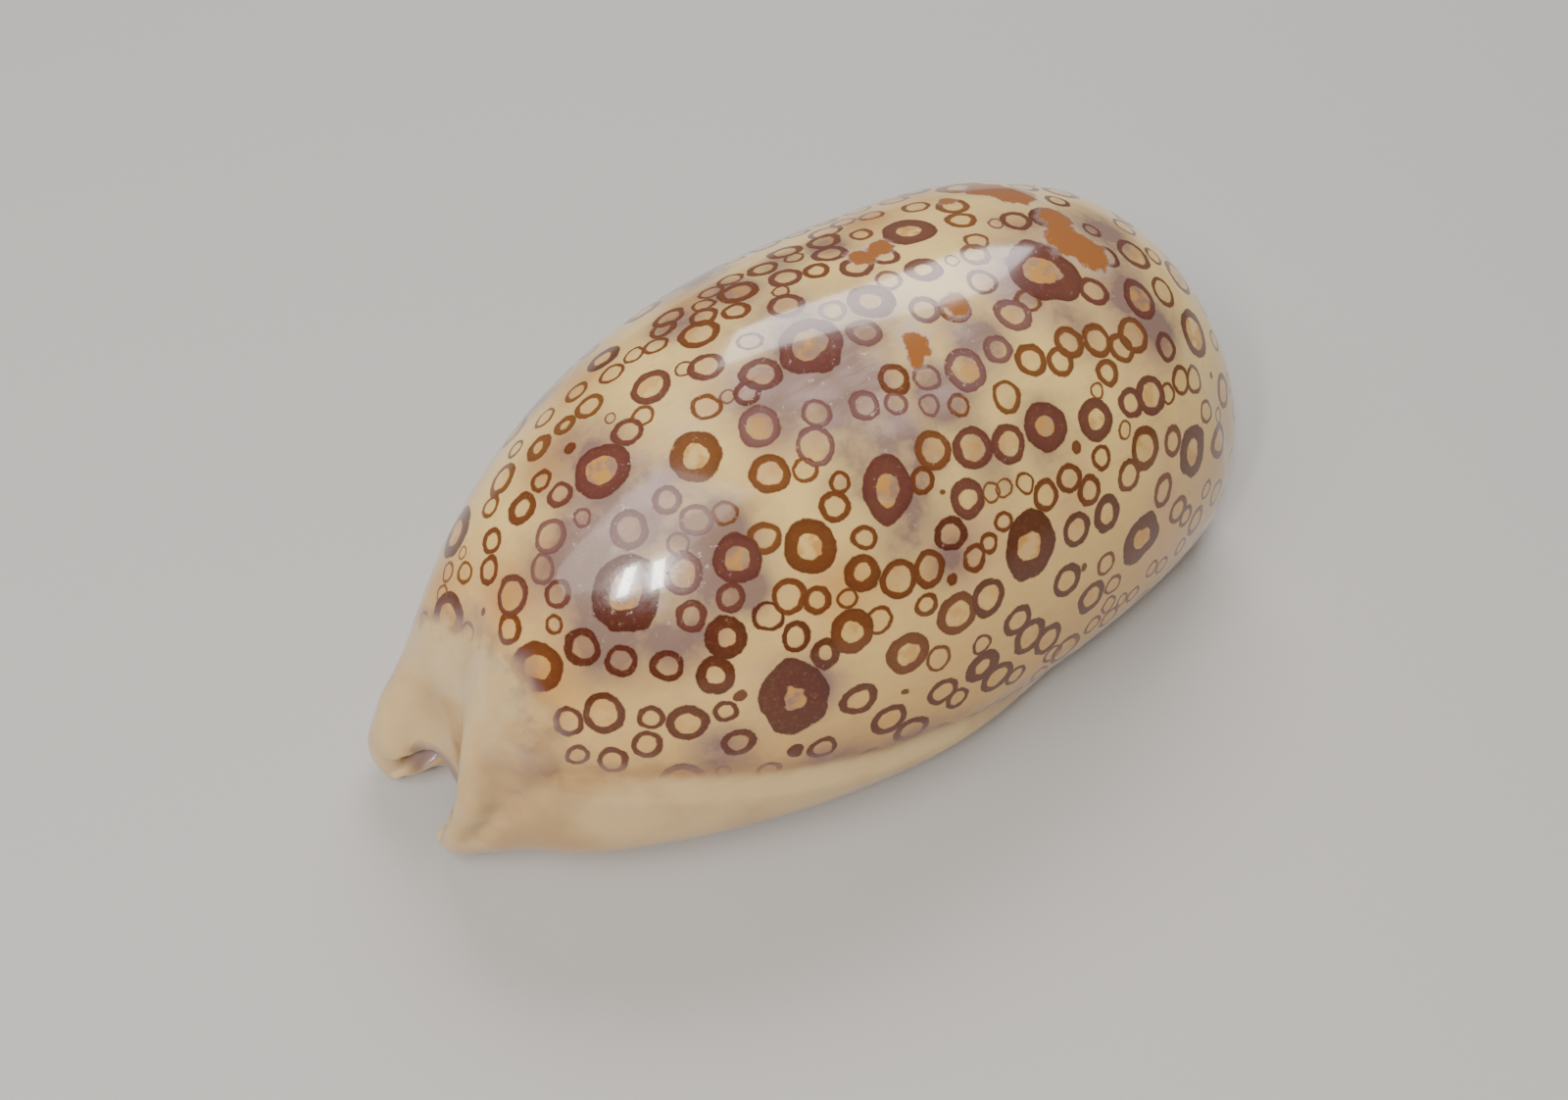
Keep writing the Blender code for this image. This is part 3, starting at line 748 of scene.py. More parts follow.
def new_tree(name, numbers, counts):
    """A geometry node tree with named inputs, as (graph, its inputs by name, output node)."""
    tree = bpy.data.node_groups.new(name, "GeometryNodeTree")
    tree.interface.new_socket("Geometry", in_out="INPUT", socket_type="NodeSocketGeometry")
    tree.interface.new_socket("Geometry", in_out="OUTPUT", socket_type="NodeSocketGeometry")
    for kind, group in (("NodeSocketFloat", numbers), ("NodeSocketInt", counts)):
        for label in group:
            tree.interface.new_socket(label, in_out="INPUT", socket_type=kind)
    tree.interface.new_socket("Material", in_out="INPUT", socket_type="NodeSocketMaterial")
    graph = Graph(tree)
    given = tree.nodes.new("NodeGroupInput")
    inputs = {socket.name: Value(graph, socket) for socket in given.outputs if socket.name}
    return graph, inputs, tree.nodes.new("NodeGroupOutput")


def grown(name, graph, values):
    """The mesh that a tree makes from these values, as a plain object."""
    seed_mesh = bpy.data.meshes.new(name + "_seed")
    thing = bpy.data.objects.new(name, seed_mesh)
    bpy.context.scene.collection.objects.link(thing)
    modifier = thing.modifiers.new("grown", "NODES")
    modifier.node_group = graph.tree
    for item in graph.tree.interface.items_tree:
        if item.in_out == "INPUT" and item.name in values:
            modifier[item.identifier] = values[item.name]
    graph_state = bpy.context.evaluated_depsgraph_get()
    mesh = bpy.data.meshes.new_from_object(thing.evaluated_get(graph_state))
    thing.modifiers.clear()
    thing.data = mesh
    mesh.name = name
    bpy.data.meshes.remove(seed_mesh)
    return thing


def finish_tree(graph, geometry, inputs, output):
    """Smooth faces, instances made real and the material, as the tree's last steps."""
    geometry = graph.node("GeometryNodeSetShadeSmooth", values={0: geometry})
    geometry = graph.node("GeometryNodeRealizeInstances", values={0: geometry})
    values = {"Geometry": geometry, "Material": inputs["Material"]}
    geometry = graph.node("GeometryNodeSetMaterial", values=values)
    graph.tree.links.new(geometry.socket, output.inputs[0])


def stored(graph, geometry, name, value):
    values = {"Geometry": geometry, "Name": name, "Value": value}
    return graph.node("GeometryNodeStoreNamedAttribute", values=values)


def placed(graph, geometry, **where):
    """The geometry with its points at a new Position or moved by an Offset."""
    values = {"Geometry": geometry, **where}
    return graph.node("GeometryNodeSetPosition", values=values)


def station_places(graph, count, rim_round_shares):
    """Place along the shell and share of the wall's thickness at station number count."""
    front_round, spire_round = rim_round_shares
    last = STATIONS - 1
    quarter_turn = np.pi / 2
    front_turn = within(count / RIM_STATIONS) * quarter_turn
    spire_turn = within((last - count) / RIM_STATIONS) * quarter_turn
    middle = within((count - RIM_STATIONS) / (last - 2 * RIM_STATIONS))
    eased = 0.5 - 0.5 * cosine(middle * np.pi)
    middle = middle + (eased - middle) * CROWDED_ENDS
    along = front_round + middle * (1.0 - front_round - spire_round)
    along = along - front_round * cosine(front_turn) + spire_round * cosine(spire_turn)
    return along, sine(front_turn) * sine(spire_turn)


def shaped(graph, geometry, forms):
    """Pushes the surface out round each form, or in where it is negative, and moves the notch."""
    place = graph.node("GeometryNodeInputPosition")
    push = 0.0 * place.part(0)
    for centre, width, height in forms:
        centre = tuple(MM * value for value in centre)
        push = push + height * MM * bump(distance_to(graph, place, centre), 0.0, width * MM)
    inner = graph.node("GeometryNodeInputNamedAttribute", values={"Name": "inside"})
    values = {0: inner, "Iterations": INNER_ROUNDS, "Weight": 1.0}
    inner = graph.node("GeometryNodeBlurAttribute", {"data_type": "FLOAT"}, values)
    push = push * (1.0 - (1.0 - INNER_FORMS_SHARE) * inner)
    outward = graph.node("GeometryNodeInputNormal")
    offset = vector_math(graph, "SCALE", outward, scale=push)
    for centre, width, way in FRONT_SHIFTS:
        centre, way = (tuple(MM * value for value in row) for row in (centre, way))
        share = bump(distance_to(graph, place, centre), 0.0, width * MM)
        offset = vector_math(graph, "ADD", offset, vector_math(graph, "SCALE", way, scale=share))
    return placed(graph, geometry, Offset=offset)


def softened(graph, geometry):
    """Rounds off the rims and folds of both ends and leaves the rest as it is."""
    place = graph.node("GeometryNodeInputPosition")
    near = -absolute(place.part(1)) - SOFT_LEAN * place.part(2)
    values = {0: place, "Iterations": SOFT_ROUNDS, "Weight": 1.0 - smooth_step(near, *SOFT_FROM_TO)}
    place = graph.node("GeometryNodeBlurAttribute", {"data_type": "FLOAT_VECTOR"}, values)
    return placed(graph, geometry, Position=place)


def shell_tree():
    """The whole skin of the shell: a grid, laid round the section and along the shell."""
    graph, inputs, output = new_tree("cowrie_shell", SIZES, ("Stations", "Points round"))
    values = {0: 1.0, 1: 1.0, 2: inputs["Stations"], 3: inputs["Points round"] + 1.0}
    grid = graph.node("GeometryNodeMeshGrid", values=values)
    flat = graph.node("GeometryNodeInputPosition")
    count = (flat.part(0) + 0.5) * (inputs["Stations"] - 1.0)
    step = (flat.part(1) + 0.5) * inputs["Points round"]
    rims = (FRONT_RIM_ROUND / inputs["Length"], SPIRE_RIM_ROUND / inputs["Length"])
    along, share = station_places(graph, count, rims)

    wall = float(WALL_POINTS)
    lip = float(LIP_POINTS)
    half = wall + lip
    step = step - inputs["Points round"] * (step > inputs["Points round"] - 0.5)
    outer_share = within(step / (wall - 1.0))
    inner_share = 1.0 - within((step - half) / (wall - 1.0))
    on_inner = step > half - 0.5
    on_left_lip = (step > wall - 0.5) * (step < half - 0.5)
    on_right_lip = step > half + wall - 0.5
    on_lip = on_left_lip + on_right_lip
    turn = -np.pi / 2 + 2.0 * np.pi * choose(on_inner, inner_share, outer_share)
    left_turn = (step - (wall - 1.0)) / (lip + 1.0)
    right_turn = 1.0 - (step - (half + wall - 1.0)) / (lip + 1.0)
    lip_turn = (within(choose(on_left_lip, left_turn, right_turn)) - 0.5) * np.pi

    shape = ShellShape(graph, inputs)
    shape.set_station(along)
    place = shape.point(turn, on_inner, on_lip, lip_turn, share)
    geometry = stored(graph, grid, "along", along)
    geometry = stored(graph, geometry, "turn", turn)
    geometry = stored(graph, geometry, "inside", on_inner * (1.0 - on_lip))
    values = {"Geometry": placed(graph, geometry, Position=place), "Distance": TOUCHING}
    geometry = graph.node("GeometryNodeMergeByDistance", values=values)
    geometry = shaped(graph, softened(graph, geometry), FRONT_FORMS)
    finish_tree(graph, geometry, inputs, output)
    return graph


def tooth_thickness(radius, along_tooth, full_at):
    return radius * (TOOTH_TIP + (1.0 - TOOTH_TIP) * smooth_step(along_tooth, 0.0, full_at))


def teeth_tree():
    """Tapered ridges that run from the base over the edge of one lip, one path for each."""
    numbers = dict.fromkeys((*SIZES, "Side", "Reach", "Radius", "Sinks", "From", "To"))
    graph, inputs, output = new_tree("lip_teeth", numbers, ("Teeth",))
    points = graph.node("GeometryNodePoints", values={"Count": inputs["Teeth"]})
    line = graph.node("GeometryNodeMeshLine", values={"Count": TOOTH_POINTS})
    values = {"Points": points, "Instance": line}
    lines = graph.node("GeometryNodeInstanceOnPoints", values=values)
    lines = graph.node("GeometryNodeRealizeInstances", values={0: lines})
    number = graph.node("GeometryNodeInputIndex")
    tooth = whole_part((number + 0.5) / TOOTH_POINTS)
    step = (number - tooth * TOOTH_POINTS) / (TOOTH_POINTS - 1.0)

    along = inputs["From"] + (inputs["To"] - inputs["From"]) * tooth / (inputs["Teeth"] - 1.0)
    on_lip = step > 0.5
    out = within(1.0 - 2.0 * step) * inputs["Reach"]
    left_turn = 1.5 * np.pi - out
    right_turn = -0.5 * np.pi + out
    turn = choose(inputs["Side"] > 0.0, right_turn, left_turn)
    round_lip = within(2.0 * step - 1.0)
    lip_turn = (TOOTH_OVER_LIP * round_lip - 0.5) * np.pi
    shape = ShellShape(graph, inputs)
    shape.set_station(along)
    place = shape.point(turn, 0.0 * step, on_lip, lip_turn, 1.0)
    inward = cosine(round_lip * np.pi * 0.5)
    sideways = sine(round_lip * np.pi * 0.5) * inputs["Side"]
    sinks = tooth_thickness(inputs["Radius"], step, 0.5) * inputs["Sinks"]
    sunk = graph.join(sideways * sinks, 0.0 * step, inward * sinks)
    place = vector_math(graph, "ADD", place, sunk)
    lines = placed(graph, lines, Position=place)
    curve = graph.node("GeometryNodeMeshToCurve", values={0: lines})
    along_tooth = graph.node("GeometryNodeSplineParameter")
    swell = tooth_thickness(inputs["Radius"], along_tooth, 0.45)
    values = {"Resolution": TOOTH_SIDES, "Radius": 1.0}
    ring = graph.node("GeometryNodeCurvePrimitiveCircle", values=values)
    values = {"Curve": curve, "Profile Curve": ring, "Scale": swell, "Fill Caps": True}
    geometry = graph.node("GeometryNodeCurveToMesh", values=values)
    finish_tree(graph, geometry, inputs, output)
    return graph


def new_material(name):
    material = bpy.data.materials.new(name)
    material.use_nodes = True
    return material, material.node_tree.nodes["Principled BSDF"], Graph(material.node_tree)


def give_finish(graph, surface, colour, roughness, relief, strength, depth):
    """Links what changes over a glazed surface: its colour, roughness and fine relief."""
    values = {"Strength": strength, "Distance": depth, "Height": relief}
    normal = graph.node("ShaderNodeBump", values=values)
    for name, value in (("Base Color", colour), ("Roughness", roughness), ("Normal", normal)):
        graph.tree.links.new(value.socket, surface.inputs[name])
    surface.inputs["Coat Weight"].default_value = COAT_WEIGHT
    surface.inputs["Coat Roughness"].default_value = COAT_ROUGHNESS


def margin_top(y):
    """Height of the upper edge of the callus on the margins, in millimetres."""
    return MARGIN_EDGE / MM + MARGIN_EDGE_SLOPE * y


def rise(value, name):
    return smooth_step(value, *RISES[name])


def fall(value, name):
    return 1.0 - rise(value, name)


class Surface:
    """Where a point of a piece lies, in millimetres, and the noises of its material there."""

    def __init__(self, graph):
        self.graph = graph
        coordinates = graph.node("ShaderNodeTexCoord", output="Object")
        self.place = vector_math(graph, "SCALE", coordinates, scale=1.0 / MM)
        self.x, self.y, self.z = (self.place.part(axis) for axis in range(3))

    def noise(self, name, output=0):
        scale, detail, roughness = NOISES[name]
        place = self.place
        if isinstance(scale, tuple):
            place = vector_math(self.graph, "MULTIPLY", place, scale)
            scale = 1.0
        values = {"Vector": place, "Scale": scale, "Detail": detail, "Roughness": roughness}
        return self.graph.node("ShaderNodeTexNoise", values=values, output=output)

    def patches(self, name):
        """A mask of the places where the noise of this name is strong."""
        return rise(self.noise(name), name)

    def moved(self, place, name, distance):
        """A place moved by a coloured noise, each way by up to half the distance."""
        way = vector_math(self.graph, "SUBTRACT", self.noise(name, "Color"), (0.5, 0.5, 0.5))
        way = vector_math(self.graph, "SCALE", way, scale=distance)
        return vector_math(self.graph, "ADD", place, way)

class Skin(Surface):
    """A point of the shell and how much of each covering lies on it."""

    def __init__(self, graph):
        super().__init__(graph)
        self.inside = attribute(graph, "inside")
        self.wander = self.noise("wander")
        at_margin, at_front, at_spire = (wide * (self.wander - 0.5) for wide in EDGE_WANDER)
        above_margin = self.z - larger(margin_top(self.y), MARGIN_LEAST) + at_margin
        behind_front = self.y - FRONT_CALLUS_END - FRONT_CALLUS_SKEW * smaller(self.x, 0.0)
        behind_front = behind_front + at_front
        before_spire = SPIRE_CALLUS - self.y + SPIRE_CALLUS_LEAN * (self.z - SPIRE_CALLUS_LEVEL)
        before_spire = before_spire + at_spire
        self.callus = fall(smaller(smaller(above_margin, behind_front), before_spire), "callus")
        patchy = self.patches("veil patches")
        front_veil = fall(smaller(behind_front, before_spire), "front veil")
        self.veil = larger(fall(above_margin, "margin veil") * patchy, front_veil)
        # Painted shade: brown laid along the crease above the inner-lip margin
        self.crease_shade = bump(above_margin, *CREASE_SHADE) * rise(self.x, "crease_shade")
        self.smudge = bump(behind_front, *SMUDGE) * rise(above_margin, "smudge")
        self.milky = fall(absolute(behind_front + MILKY_AHEAD), "milky") * patchy
        self.milky = self.milky * rise(self.z, "milky height")
        # Lilac inside the shell, darkened with painted shade
        front, spire = INSIDE_TINT_AND_SHADE
        self.lilac_and_shade = self.inside * smooth_step(self.y, *front) * (1.0 - smooth_step(self.y, *spire))
        # Painted shade: the inside of the front canal darkened to deep brown
        centre, across, *upright = CANAL_SHADE
        self.canal_shade = larger(1.0 - smooth_step(absolute(self.x - centre), *across), self.inside)
        for value, (start, end) in zip((self.y, self.z), upright):
            self.canal_shade = self.canal_shade * smooth_step(value, *start) * (1.0 - smooth_step(value, *end))
        self.base = fall(self.z + BASE_WANDER * (self.wander - 0.5), "base")


def ground_colour(skin):
    """Cream along the back, fawn on the sides, golden at the front, with mauve clouds."""
    graph = skin.graph
    cloud = skin.noise("clouds")
    cream = rise(skin.z + CREAM_WANDER * (cloud - 0.5), "cream")
    golden = within(attribute(graph, "golden")) * (0.5 + 0.8 * cloud)
    bands = 0.0 * skin.y
    for centre in MAUVE_BANDS:
        bands = bands + bump(skin.y + BAND_WANDER * (cloud - 0.5), centre, MAUVE_BAND_SPREAD)
    patchy = skin.patches("mauve")
    picked = within(attribute(graph, "mauve")) * (0.45 + 0.55 * patchy)
    mauve = within(1.7 * larger(picked, bands * patchy * rise(-skin.x, "unseen side")))
    return painted(
        graph, colour_mix(graph, cream, FAWN, CREAM),
        (0.5 * skin.patches("rosy"), ROSY_FAWN), (0.8 * golden, GOLDEN_FAWN),
        (0.90 * mauve, MAUVE), (0.18 * skin.patches("grain"), BROWN_DUST),
        (0.20 * (skin.noise("dust") - 0.3), BROWN_DUST))


def glaze_and_sheen_at(skin):
    """The whitish film along the crest, partly worn glaze and partly painted sheen, and its flakes."""
    glaze = attribute(skin.graph, "glaze")
    film_and_sheen = within(glaze) * (0.25 + 0.75 * skin.patches("streaks"))
    flakes = within(glaze + 0.4 * attribute(skin.graph, "mauve")) * skin.patches("flakes")
    return film_and_sheen, flakes


def spot_at(skin, slot, drawn, uneven, lumpy):
    """How much line and how much centre a spot puts at a point, and its colour and size."""
    graph = skin.graph
    centre, wide, tall, looks = (attribute(graph, f"spot_{slot}_{part}", "Vector")
                                 for part in SPOT_PARTS)
    line, tone, size = (looks.part(axis) for axis in range(3))
    off = vector_math(graph, "SUBTRACT", drawn, centre)
    across = dot(graph, off, wide)
    upward = dot(graph, off, tall)
    away = root_of(across * across + upward * upward)
    away = away + lumpy * (0.16 + 0.50 * rise(size, "lumpy"))
    width = line * (0.60 + 0.80 * uneven)
    outer = 1.0 - smooth_step((away - 1.0) * size, -LINE_SOFTNESS, LINE_SOFTNESS)
    inner = smooth_step((away - 1.0 + width) * size, -LINE_SOFTNESS, LINE_SOFTNESS)
    return outer * inner, outer * (1.0 - inner), tone, size, within((away - 1.0 + width) / width)


def line_colour(skin, tone, rim, film_and_sheen):
    """The colour of a spot's line: its tone, mottled, warmer at its outer rim, veiled by the whitish film
    of the crest, which is partly painted sheen.
    """
    graph = skin.graph
    colour = graph.node("ShaderNodeValToRGB", {"stops": LINE_COLOURS}, {0: tone})
    colour = colour_mix(graph, 0.40 * skin.patches("mottle"), colour, MOTTLE)
    colour = colour_mix(graph, 0.5 * bump(rim, 1.0, 0.35), colour, EDGE_BROWN, "MULTIPLY")
    return colour_mix(graph, 0.30 * film_and_sheen, colour, VEILED_VIOLET)


def with_spots(skin, colour, film_and_sheen, flakes):
    """The colour with the spots drawn on it: a line round each, and a tan centre in big ones."""
    graph = skin.graph
    drawn = skin.moved(skin.moved(skin.place, "shift", SPOT_WANDER), "fray", SPOT_FRAY)
    uneven = skin.noise("uneven")
    lumpy = skin.noise("lumpy") - 0.5
    ragged = skin.patches("ragged")
    lines = tones = rims = 0.0 * skin.x
    for slot in range(SPOT_SLOTS):
        line, centre, tone, size, rim = spot_at(skin, slot, drawn, uneven, lumpy)
        wins = line > lines
        tones = choose(wins, tone, tones)
        rims = choose(wins, rim, rims)
        lines = larger(lines, line)
        tan = centre * (0.15 + 0.75 * rise(size, "big centre") * ragged)
        colour = colour_mix(graph, tan, colour, CENTRE_TAN)
    lines = lines * (1.0 - 0.55 * film_and_sheen * skin.patches("worn")) * (1.0 - 0.5 * flakes)
    lines = lines * (1.0 - skin.inside)
    brown = colour_mix(graph, skin.veil, line_colour(skin, tones, rims, film_and_sheen), VEILED_VIOLET)
    free = 1.0 - skin.callus
    return painted(graph, colour, (lines * free * LINE_STRENGTH, brown),
                   (0.32 * skin.veil * free, VEILED_VIOLET), (0.45 * flakes * free, WHITE_FLAKE))


def with_worn_patches(skin, colour):
    """Places where the glaze has gone: orange, with a dark edge and a pale halo."""
    bared = attribute(skin.graph, "worn") + 0.8 * (skin.noise("bared") - 0.5)
    return painted(skin.graph, colour, (0.4 * rise(bared, "halo"), WHITISH_FILM_AND_SHEEN),
                   (0.7 * bump(bared, *WORN_EDGE), MOTTLE), (rise(bared, "bared"), BARED_ORANGE))


def blotches(skin):
    """The four dark blotches of the base, two on each side of the mouth."""
    wander = skin.noise("blotches") - 0.5
    dark = 0.0 * skin.x
    for across, along in BASE_BLOTCHES:
        wide = (skin.x - across) / BLOTCH_SIZE[0]
        long = (skin.y - along) / BLOTCH_SIZE[1]
        away = root_of(wide * wide + long * long) + BLOTCH_WANDER * wander
        dark = larger(dark, fall(away, "blotch"))
    return dark * fall(skin.z, "blotch height") * (1.0 - skin.inside)


def callus_colour(skin):
    """Ivory, with random tan, and painted shade in tan in the hollow and on the ridge of the front end;
    milky where the spots end.
    """
    # Painted shade: tan laid into the hollow and on the ridge's side of the front end, over random tan
    hollow = distance_to(skin.graph, skin.place, SHADED_HOLLOW_CENTRE)
    ridge = rise(skin.x, "shaded ridge side") * fall(skin.y, "shaded ridge end")
    tan = 0.6 * (rise(skin.wander, "tan") + 0.8 * ridge)
    tan = within(tan + 0.8 * bump(hollow, 0.0, HOLLOW_SHADE_WIDTH))
    pinkish = rise(skin.noise("pinkish") + 0.05 * (4.0 - skin.z), "pinkish")
    pinkish = pinkish * rise(skin.y, "pinkish end")
    return painted(skin.graph, IVORY, (tan, DEEP_IVORY_AND_SHADE), (0.35 * skin.milky, MILKY),
                   (0.6 * pinkish, PINKISH))


def enamel():
    """The glazed skin of the shell, with its spots."""
    material, surface, graph = new_material("spotted_enamel")
    skin = Skin(graph)
    film_and_sheen, flakes = glaze_and_sheen_at(skin)
    # The whitish film along the crest is partly worn glaze and partly painted sheen
    colour = colour_mix(graph, 0.60 * film_and_sheen, ground_colour(skin), WHITISH_FILM_AND_SHEEN)
    colour = with_worn_patches(skin, with_spots(skin, colour, film_and_sheen, flakes))
    smudge = 0.42 * skin.smudge * skin.patches("broken")
    colour = painted(
        graph, colour, (skin.callus, callus_colour(skin)), (0.5 * skin.crease_shade, CREASE_SHADE_BROWN),
        (smudge, VEILED_VIOLET), (0.55 * skin.base, BASE_FAWN),
        (0.95 * blotches(skin), BLOTCH_BROWN), (0.85 * skin.canal_shade, CANAL_SHADE_BROWN),
        (skin.lilac_and_shade, INSIDE_LILAC_AND_SHADE))
    scuffs = skin.noise("scuffs")
    roughness = 0.07 + 0.10 * scuffs + 0.20 * flakes + 0.18 * film_and_sheen + 0.4 * skin.inside
    relief = 0.5 * skin.noise("ripple") + 0.25 * scuffs + 0.8 * flakes
    give_finish(graph, surface, colour, roughness, relief, 0.25, 0.05 * MM)
    surface.inputs["Specular IOR Level"].default_value = ENAMEL_SPECULAR
    return material


def tooth_enamel():
    """Brown ridges, paler where they run out over the base."""
    material, surface, graph = new_material("tooth_enamel")
    tooth = Surface(graph)
    mottled = tooth.noise("teeth")
    colour = painted(graph, TOOTH_BROWN, (rise(mottled, "teeth"), TOOTH_DARK),
                     (0.55 * fall(tooth.z, "tooth height"), BASE_FAWN))
    give_finish(graph, surface, colour, 0.16 + 0.14 * mottled, mottled, 0.2, 0.04 * MM)
    return material


def read_out(items, name, width=1, kind=np.float32):
    """One property of all the items of a mesh, as an array with a row for each."""
    values = np.empty(len(items) * width, kind)
    items.foreach_get(name, values)
    return values.reshape(-1, width) if width > 1 else values


def mesh_arrays(shell):
    """The faces' middles in millimetres, their normals, their areas and which lie inside."""
    mesh = shell.data
    middles = read_out(mesh.polygons, "center", 3)
    normals = read_out(mesh.polygons, "normal", 3)
    areas = read_out(mesh.polygons, "area")
    inside = read_out(mesh.attributes["inside"].data, "value")
    first = read_out(mesh.polygons, "loop_start", kind=np.int32)
    corners = read_out(mesh.loops, "vertex_index", kind=np.int32)
    return middles / MM, normals, areas, inside[corners[first]] > 0.5


def skin_of(shell):
    mesh = shell.data
    points = [vertex.co.copy() for vertex in mesh.vertices]
    return BVHTree.FromPolygons(points, [tuple(face.vertices) for face in mesh.polygons])


def spot_row(place, normal, radius, line, tone, tall, rng):
    """A spot as (centre, wide axis, tall axis, looks), its axes over its two radii."""
    right = view_axes()[0]
    wide = right - normal * right.dot(normal)
    wide = wide / np.linalg.norm(wide)
    up = np.cross(normal, wide)
    slim = rng.uniform(*SPOT_SLIMNESS)
    wide_radius = radius * slim
    tall_radius = radius * tall / slim
    return place, wide / wide_radius, up / tall_radius, (line, tone, radius * np.sqrt(tall))


def picked_spots(skin, rng):
    """The spots of the photograph, each laid on the shell along the camera's line of sight."""
    back = Vector(view_axes()[2])
    rows = []
    picked = [(*spot, *looks) for looks, spots in PICKED_SPOTS.items() for spot in spots]
    for across, down, width, *tall, line, tone in picked:
        eye, ray = sight_line(across, down)
        place, normal, _, distance = skin.ray_cast(eye, ray)
        if place is None:
            continue
        depth = distance * -ray.dot(back)
        radius = 0.5 * width * depth / FOCAL / MM
        height = tall[0] if tall else 1.0
        place = np.array(place) / MM
        rows.append(spot_row(place, np.array(normal), radius, line, tone, height, rng))
    return rows


def shown(place, normal, skin):
    """True where the photograph's camera sees the shell well enough to have picked spots."""
    eye = AIM + view_axes()[2] * CAMERA_AWAY
    away = eye - place * MM
    distance = np.linalg.norm(away)
    away = away / distance
    if normal.dot(away) < FACING:
        return False
    start = Vector(place * MM + away * 0.05 * MM)
    return skin.ray_cast(start, Vector(away))[0] is None


def bare(place):
    """True on the callus at the front, the margins and the spire end, which carry no spots."""
    x, y, z = place
    front = FRONT_CALLUS_END + FRONT_CALLUS_SKEW * min(x, 0.0)
    before_spire = SPIRE_CALLUS - y + SPIRE_CALLUS_LEAN * (z - SPIRE_CALLUS_LEVEL)
    return z < max(margin_top(y), MARGIN_LEAST) or y < front or before_spire < 0.0


def scattered_spots(rows, arrays, skin, rng):
    """More spots of the same kinds on the sides that the photograph doesn't show."""
    middles, normals, areas, inside = arrays
    weights = np.where(inside, 0.0, areas)
    tries = rng.choice(len(areas), SCATTER_TRIES, p=weights / weights.sum())
    centres = [row[0] for row in rows]
    radii = [row[3][2] for row in rows]
    for number, face in enumerate(tries):
        big = number < BIG_SPOTS
        span = BIG_SPOT_RADIUS if big else SCATTER_RADIUS
        radius = rng.uniform(*span)
        line = rng.choice([MEDIUM, THICK, BROAD] if big else [THIN, MEDIUM, MEDIUM, THICK])
        tone = rng.choice([BROWN, DARK, DARK, VIOLET])
        place = middles[face].astype(float)
        normal = normals[face].astype(float)
        if bare(place) or shown(place, normal, skin):
            continue
        gaps = np.linalg.norm(np.array(centres) - place, axis=1) - np.array(radii) - radius
        if gaps.min() < SPOT_GAP:
            continue
        rows.append(spot_row(place, normal, radius, line, tone, 1.0, rng))
        centres.append(place)
        radii.append(radius)
    return rows


def sight_line(across, down):
    """Where the photograph's camera stood, and its direction through a pixel, for a ray."""
    right, up, back = view_axes()
    sideways = (across - PHOTO_WIDTH / 2 - CAMERA_CENTRE[0]) / FOCAL
    upward = (PHOTO_HEIGHT / 2 + CAMERA_CENTRE[1] - down) / FOCAL
    way = Vector(right * sideways + up * upward - back)
    return Vector(AIM + back * CAMERA_AWAY), way.normalized()


def tint_the_shell(shell, skin, name, patches):
    """Writes how strongly the patches of one tint cover each point of the mesh."""
    mesh = shell.data
    points = read_out(mesh.vertices, "co", 3)
    cover = np.zeros(len(points), np.float32)
    for across, down, width in patches:
        place, _, _, distance = skin.ray_cast(*sight_line(across, down))
        if place is None:
            continue
        radius = 0.5 * width * distance / FOCAL
        away = np.linalg.norm(points - np.array(place), axis=1) / radius
        cover = np.maximum(cover, np.exp(-away ** 2 * TINT_FALL))
    mesh.attributes.new(name, "FLOAT", "POINT").data.foreach_set("value", cover)


def give_spots(shell, rows, arrays):
    """Writes onto each face the spots that lie nearest to it, for the enamel to draw."""
    middles, _, _, inside = arrays
    columns = [np.array([row[i] for row in rows], np.float32) for i in range(4)]
    columns = [np.vstack([column, spare]) for column, spare in zip(columns, NO_SPOT)]
    chosen = np.full((len(middles), SPOT_SLOTS), len(rows))
    for start in range(0, len(middles), FACES_AT_ONCE):
        some = slice(start, start + FACES_AT_ONCE)
        away = np.linalg.norm(middles[some, None] - columns[0][None, :-1], axis=2)
        chosen[some] = np.argsort(away - columns[3][None, :-1, 2], axis=1)[:, :SPOT_SLOTS]
    chosen[inside] = len(rows)
    for slot in range(SPOT_SLOTS):
        for name, column in zip(SPOT_PARTS, columns):
            layer = shell.data.attributes.new(f"spot_{slot}_{name}", "FLOAT_VECTOR", "FACE")
            layer.data.foreach_set("vector", column[chosen[:, slot]].ravel())


def spot_the_shell(shell):
    rng = np.random.default_rng(SCATTER_SEED)
    skin = skin_of(shell)
    arrays = mesh_arrays(shell)
    rows = picked_spots(skin, rng)
    for name, patches in (("mauve", MAUVE_CLOUDS), ("worn", WORN_PATCHES),
                          ("golden", GOLDEN_PATCHES), ("glaze", GLARE_STREAKS)):
        tint_the_shell(shell, skin, name, patches)
    give_spots(shell, scattered_spots(rows, arrays, skin, rng), arrays)


def make_shell(material):
    values = dict(SIZES, Stations=STATIONS, Material=material)
    values["Points round"] = 2 * (WALL_POINTS + LIP_POINTS)
    return grown("shell_skin", shell_tree(), values)


def make_teeth(material):
    graph = teeth_tree()
    rows = []
    for name, side, reach in (("teeth_outer_lip", -1.0, TOOTH_OUT_LEFT),
                              ("teeth_inner_lip", 1.0, TOOTH_OUT_RIGHT)):
        values = dict(SIZES, Side=side, Reach=float(np.radians(reach)), Radius=TOOTH_RADIUS,
                      Sinks=TOOTH_SINKS, From=TEETH_FROM_TO[0], To=TEETH_FROM_TO[1],
                      Teeth=TEETH, Material=material)
        rows.append(grown(name, graph, values))
    return rows


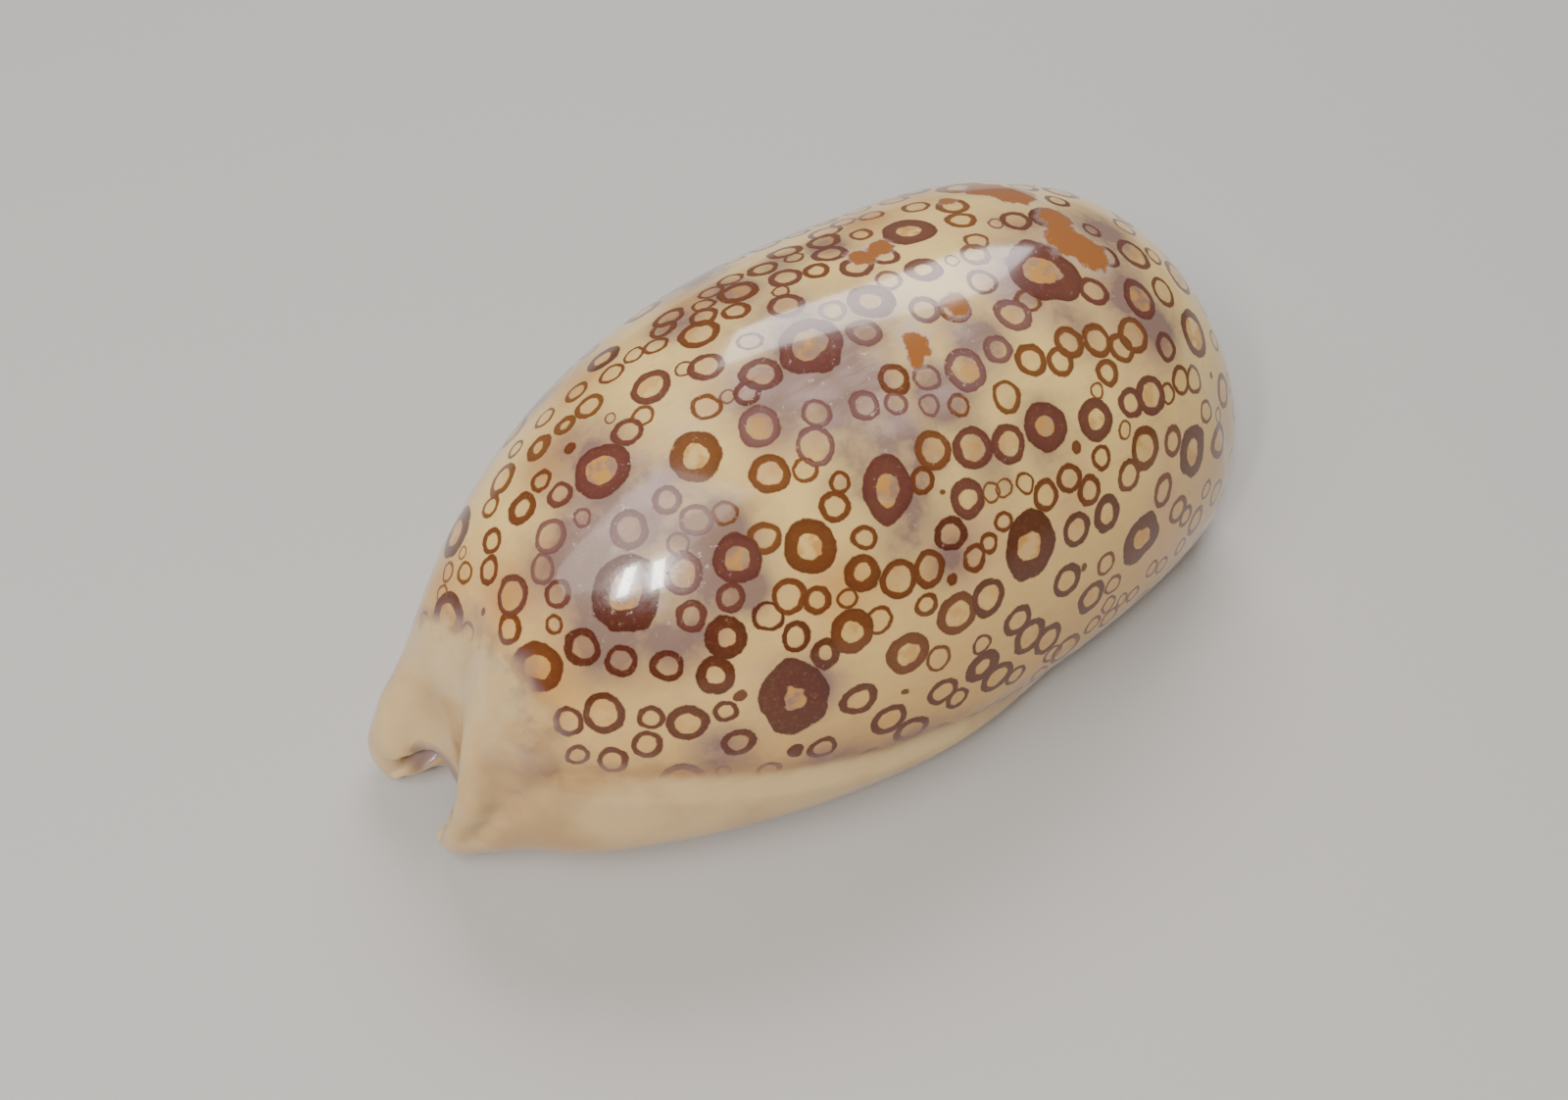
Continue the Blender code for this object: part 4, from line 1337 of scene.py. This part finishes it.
def view_axes():
    """Right, up and backward directions of the photograph's camera."""
    turn, rise, roll = np.radians([CAMERA_TURN, CAMERA_HEIGHT, CAMERA_ROLL])
    back = np.array([np.sin(turn) * np.cos(rise), -np.cos(turn) * np.cos(rise), np.sin(rise)])
    right = np.array([np.cos(turn), np.sin(turn), 0.0])
    up = np.cross(back, right)
    return (np.cos(roll) * right + np.sin(roll) * up,
            -np.sin(roll) * right + np.cos(roll) * up, back)


def make_camera():
    right, up, back = view_axes()
    data = bpy.data.cameras.new("camera")
    data.sensor_width = SENSOR
    data.lens = FOCAL / PHOTO_WIDTH * SENSOR
    data.shift_x = -CAMERA_CENTRE[0] / PHOTO_WIDTH
    data.shift_y = CAMERA_CENTRE[1] / PHOTO_WIDTH
    data.clip_start = CLIP_START
    camera = bpy.data.objects.new("camera", data)
    place = AIM + back * CAMERA_AWAY
    rows = [[right[i], up[i], back[i], place[i]] for i in range(3)] + [[0, 0, 0, 1]]
    camera.matrix_world = Matrix(rows)
    bpy.context.scene.collection.objects.link(camera)
    bpy.context.scene.camera = camera


def make_floor():
    material, surface, _ = new_material("pale_floor")
    surface.inputs["Base Color"].default_value = (*FLOOR_GREY, 1.0)
    surface.inputs["Roughness"].default_value = FLOOR_ROUGHNESS
    mesh = bpy.data.meshes.new("floor")
    corners = [(x * FLOOR_HALF, y * FLOOR_HALF, 0.0)
               for x, y in ((-1, -1), (1, -1), (1, 1), (-1, 1))]
    mesh.from_pydata(corners, [], [(0, 1, 2, 3)])
    mesh.materials.append(material)
    floor = bpy.data.objects.new("floor", mesh)
    bpy.context.scene.collection.objects.link(floor)


def area_light(name, place, size, power, colour, roll):
    data = bpy.data.lights.new(name, "AREA")
    data.shape = "RECTANGLE"
    data.size, data.size_y = size
    data.energy = power
    data.color = colour
    light = bpy.data.objects.new(name, data)
    light.location = place
    turned = Vector(place).to_track_quat("Z", "Y") @ Quaternion((0.0, 0.0, 1.0), np.radians(roll))
    light.rotation_euler = turned.to_euler()
    bpy.context.scene.collection.objects.link(light)


def make_light():
    for name, row in LIGHTS.items():
        area_light(name, *row)
    world = bpy.data.worlds.new("studio")
    world.use_nodes = True
    sky = world.node_tree.nodes["Background"]
    sky.inputs["Color"].default_value = (*SKY_COLOUR, 1.0)
    sky.inputs["Strength"].default_value = SKY_STRENGTH
    bpy.context.scene.world = world


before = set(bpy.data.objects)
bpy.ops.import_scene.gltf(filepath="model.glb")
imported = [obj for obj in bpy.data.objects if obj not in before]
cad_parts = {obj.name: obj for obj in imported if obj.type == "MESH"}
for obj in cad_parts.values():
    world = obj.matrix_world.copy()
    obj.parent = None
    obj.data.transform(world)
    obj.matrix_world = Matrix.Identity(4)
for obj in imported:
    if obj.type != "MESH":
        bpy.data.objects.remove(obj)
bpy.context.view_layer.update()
make_camera()
make_floor()
make_light()
shell = make_shell(enamel())
spot_the_shell(shell)
for piece in [shell] + make_teeth(tooth_enamel()):
    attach(piece, "root")
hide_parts("shell")
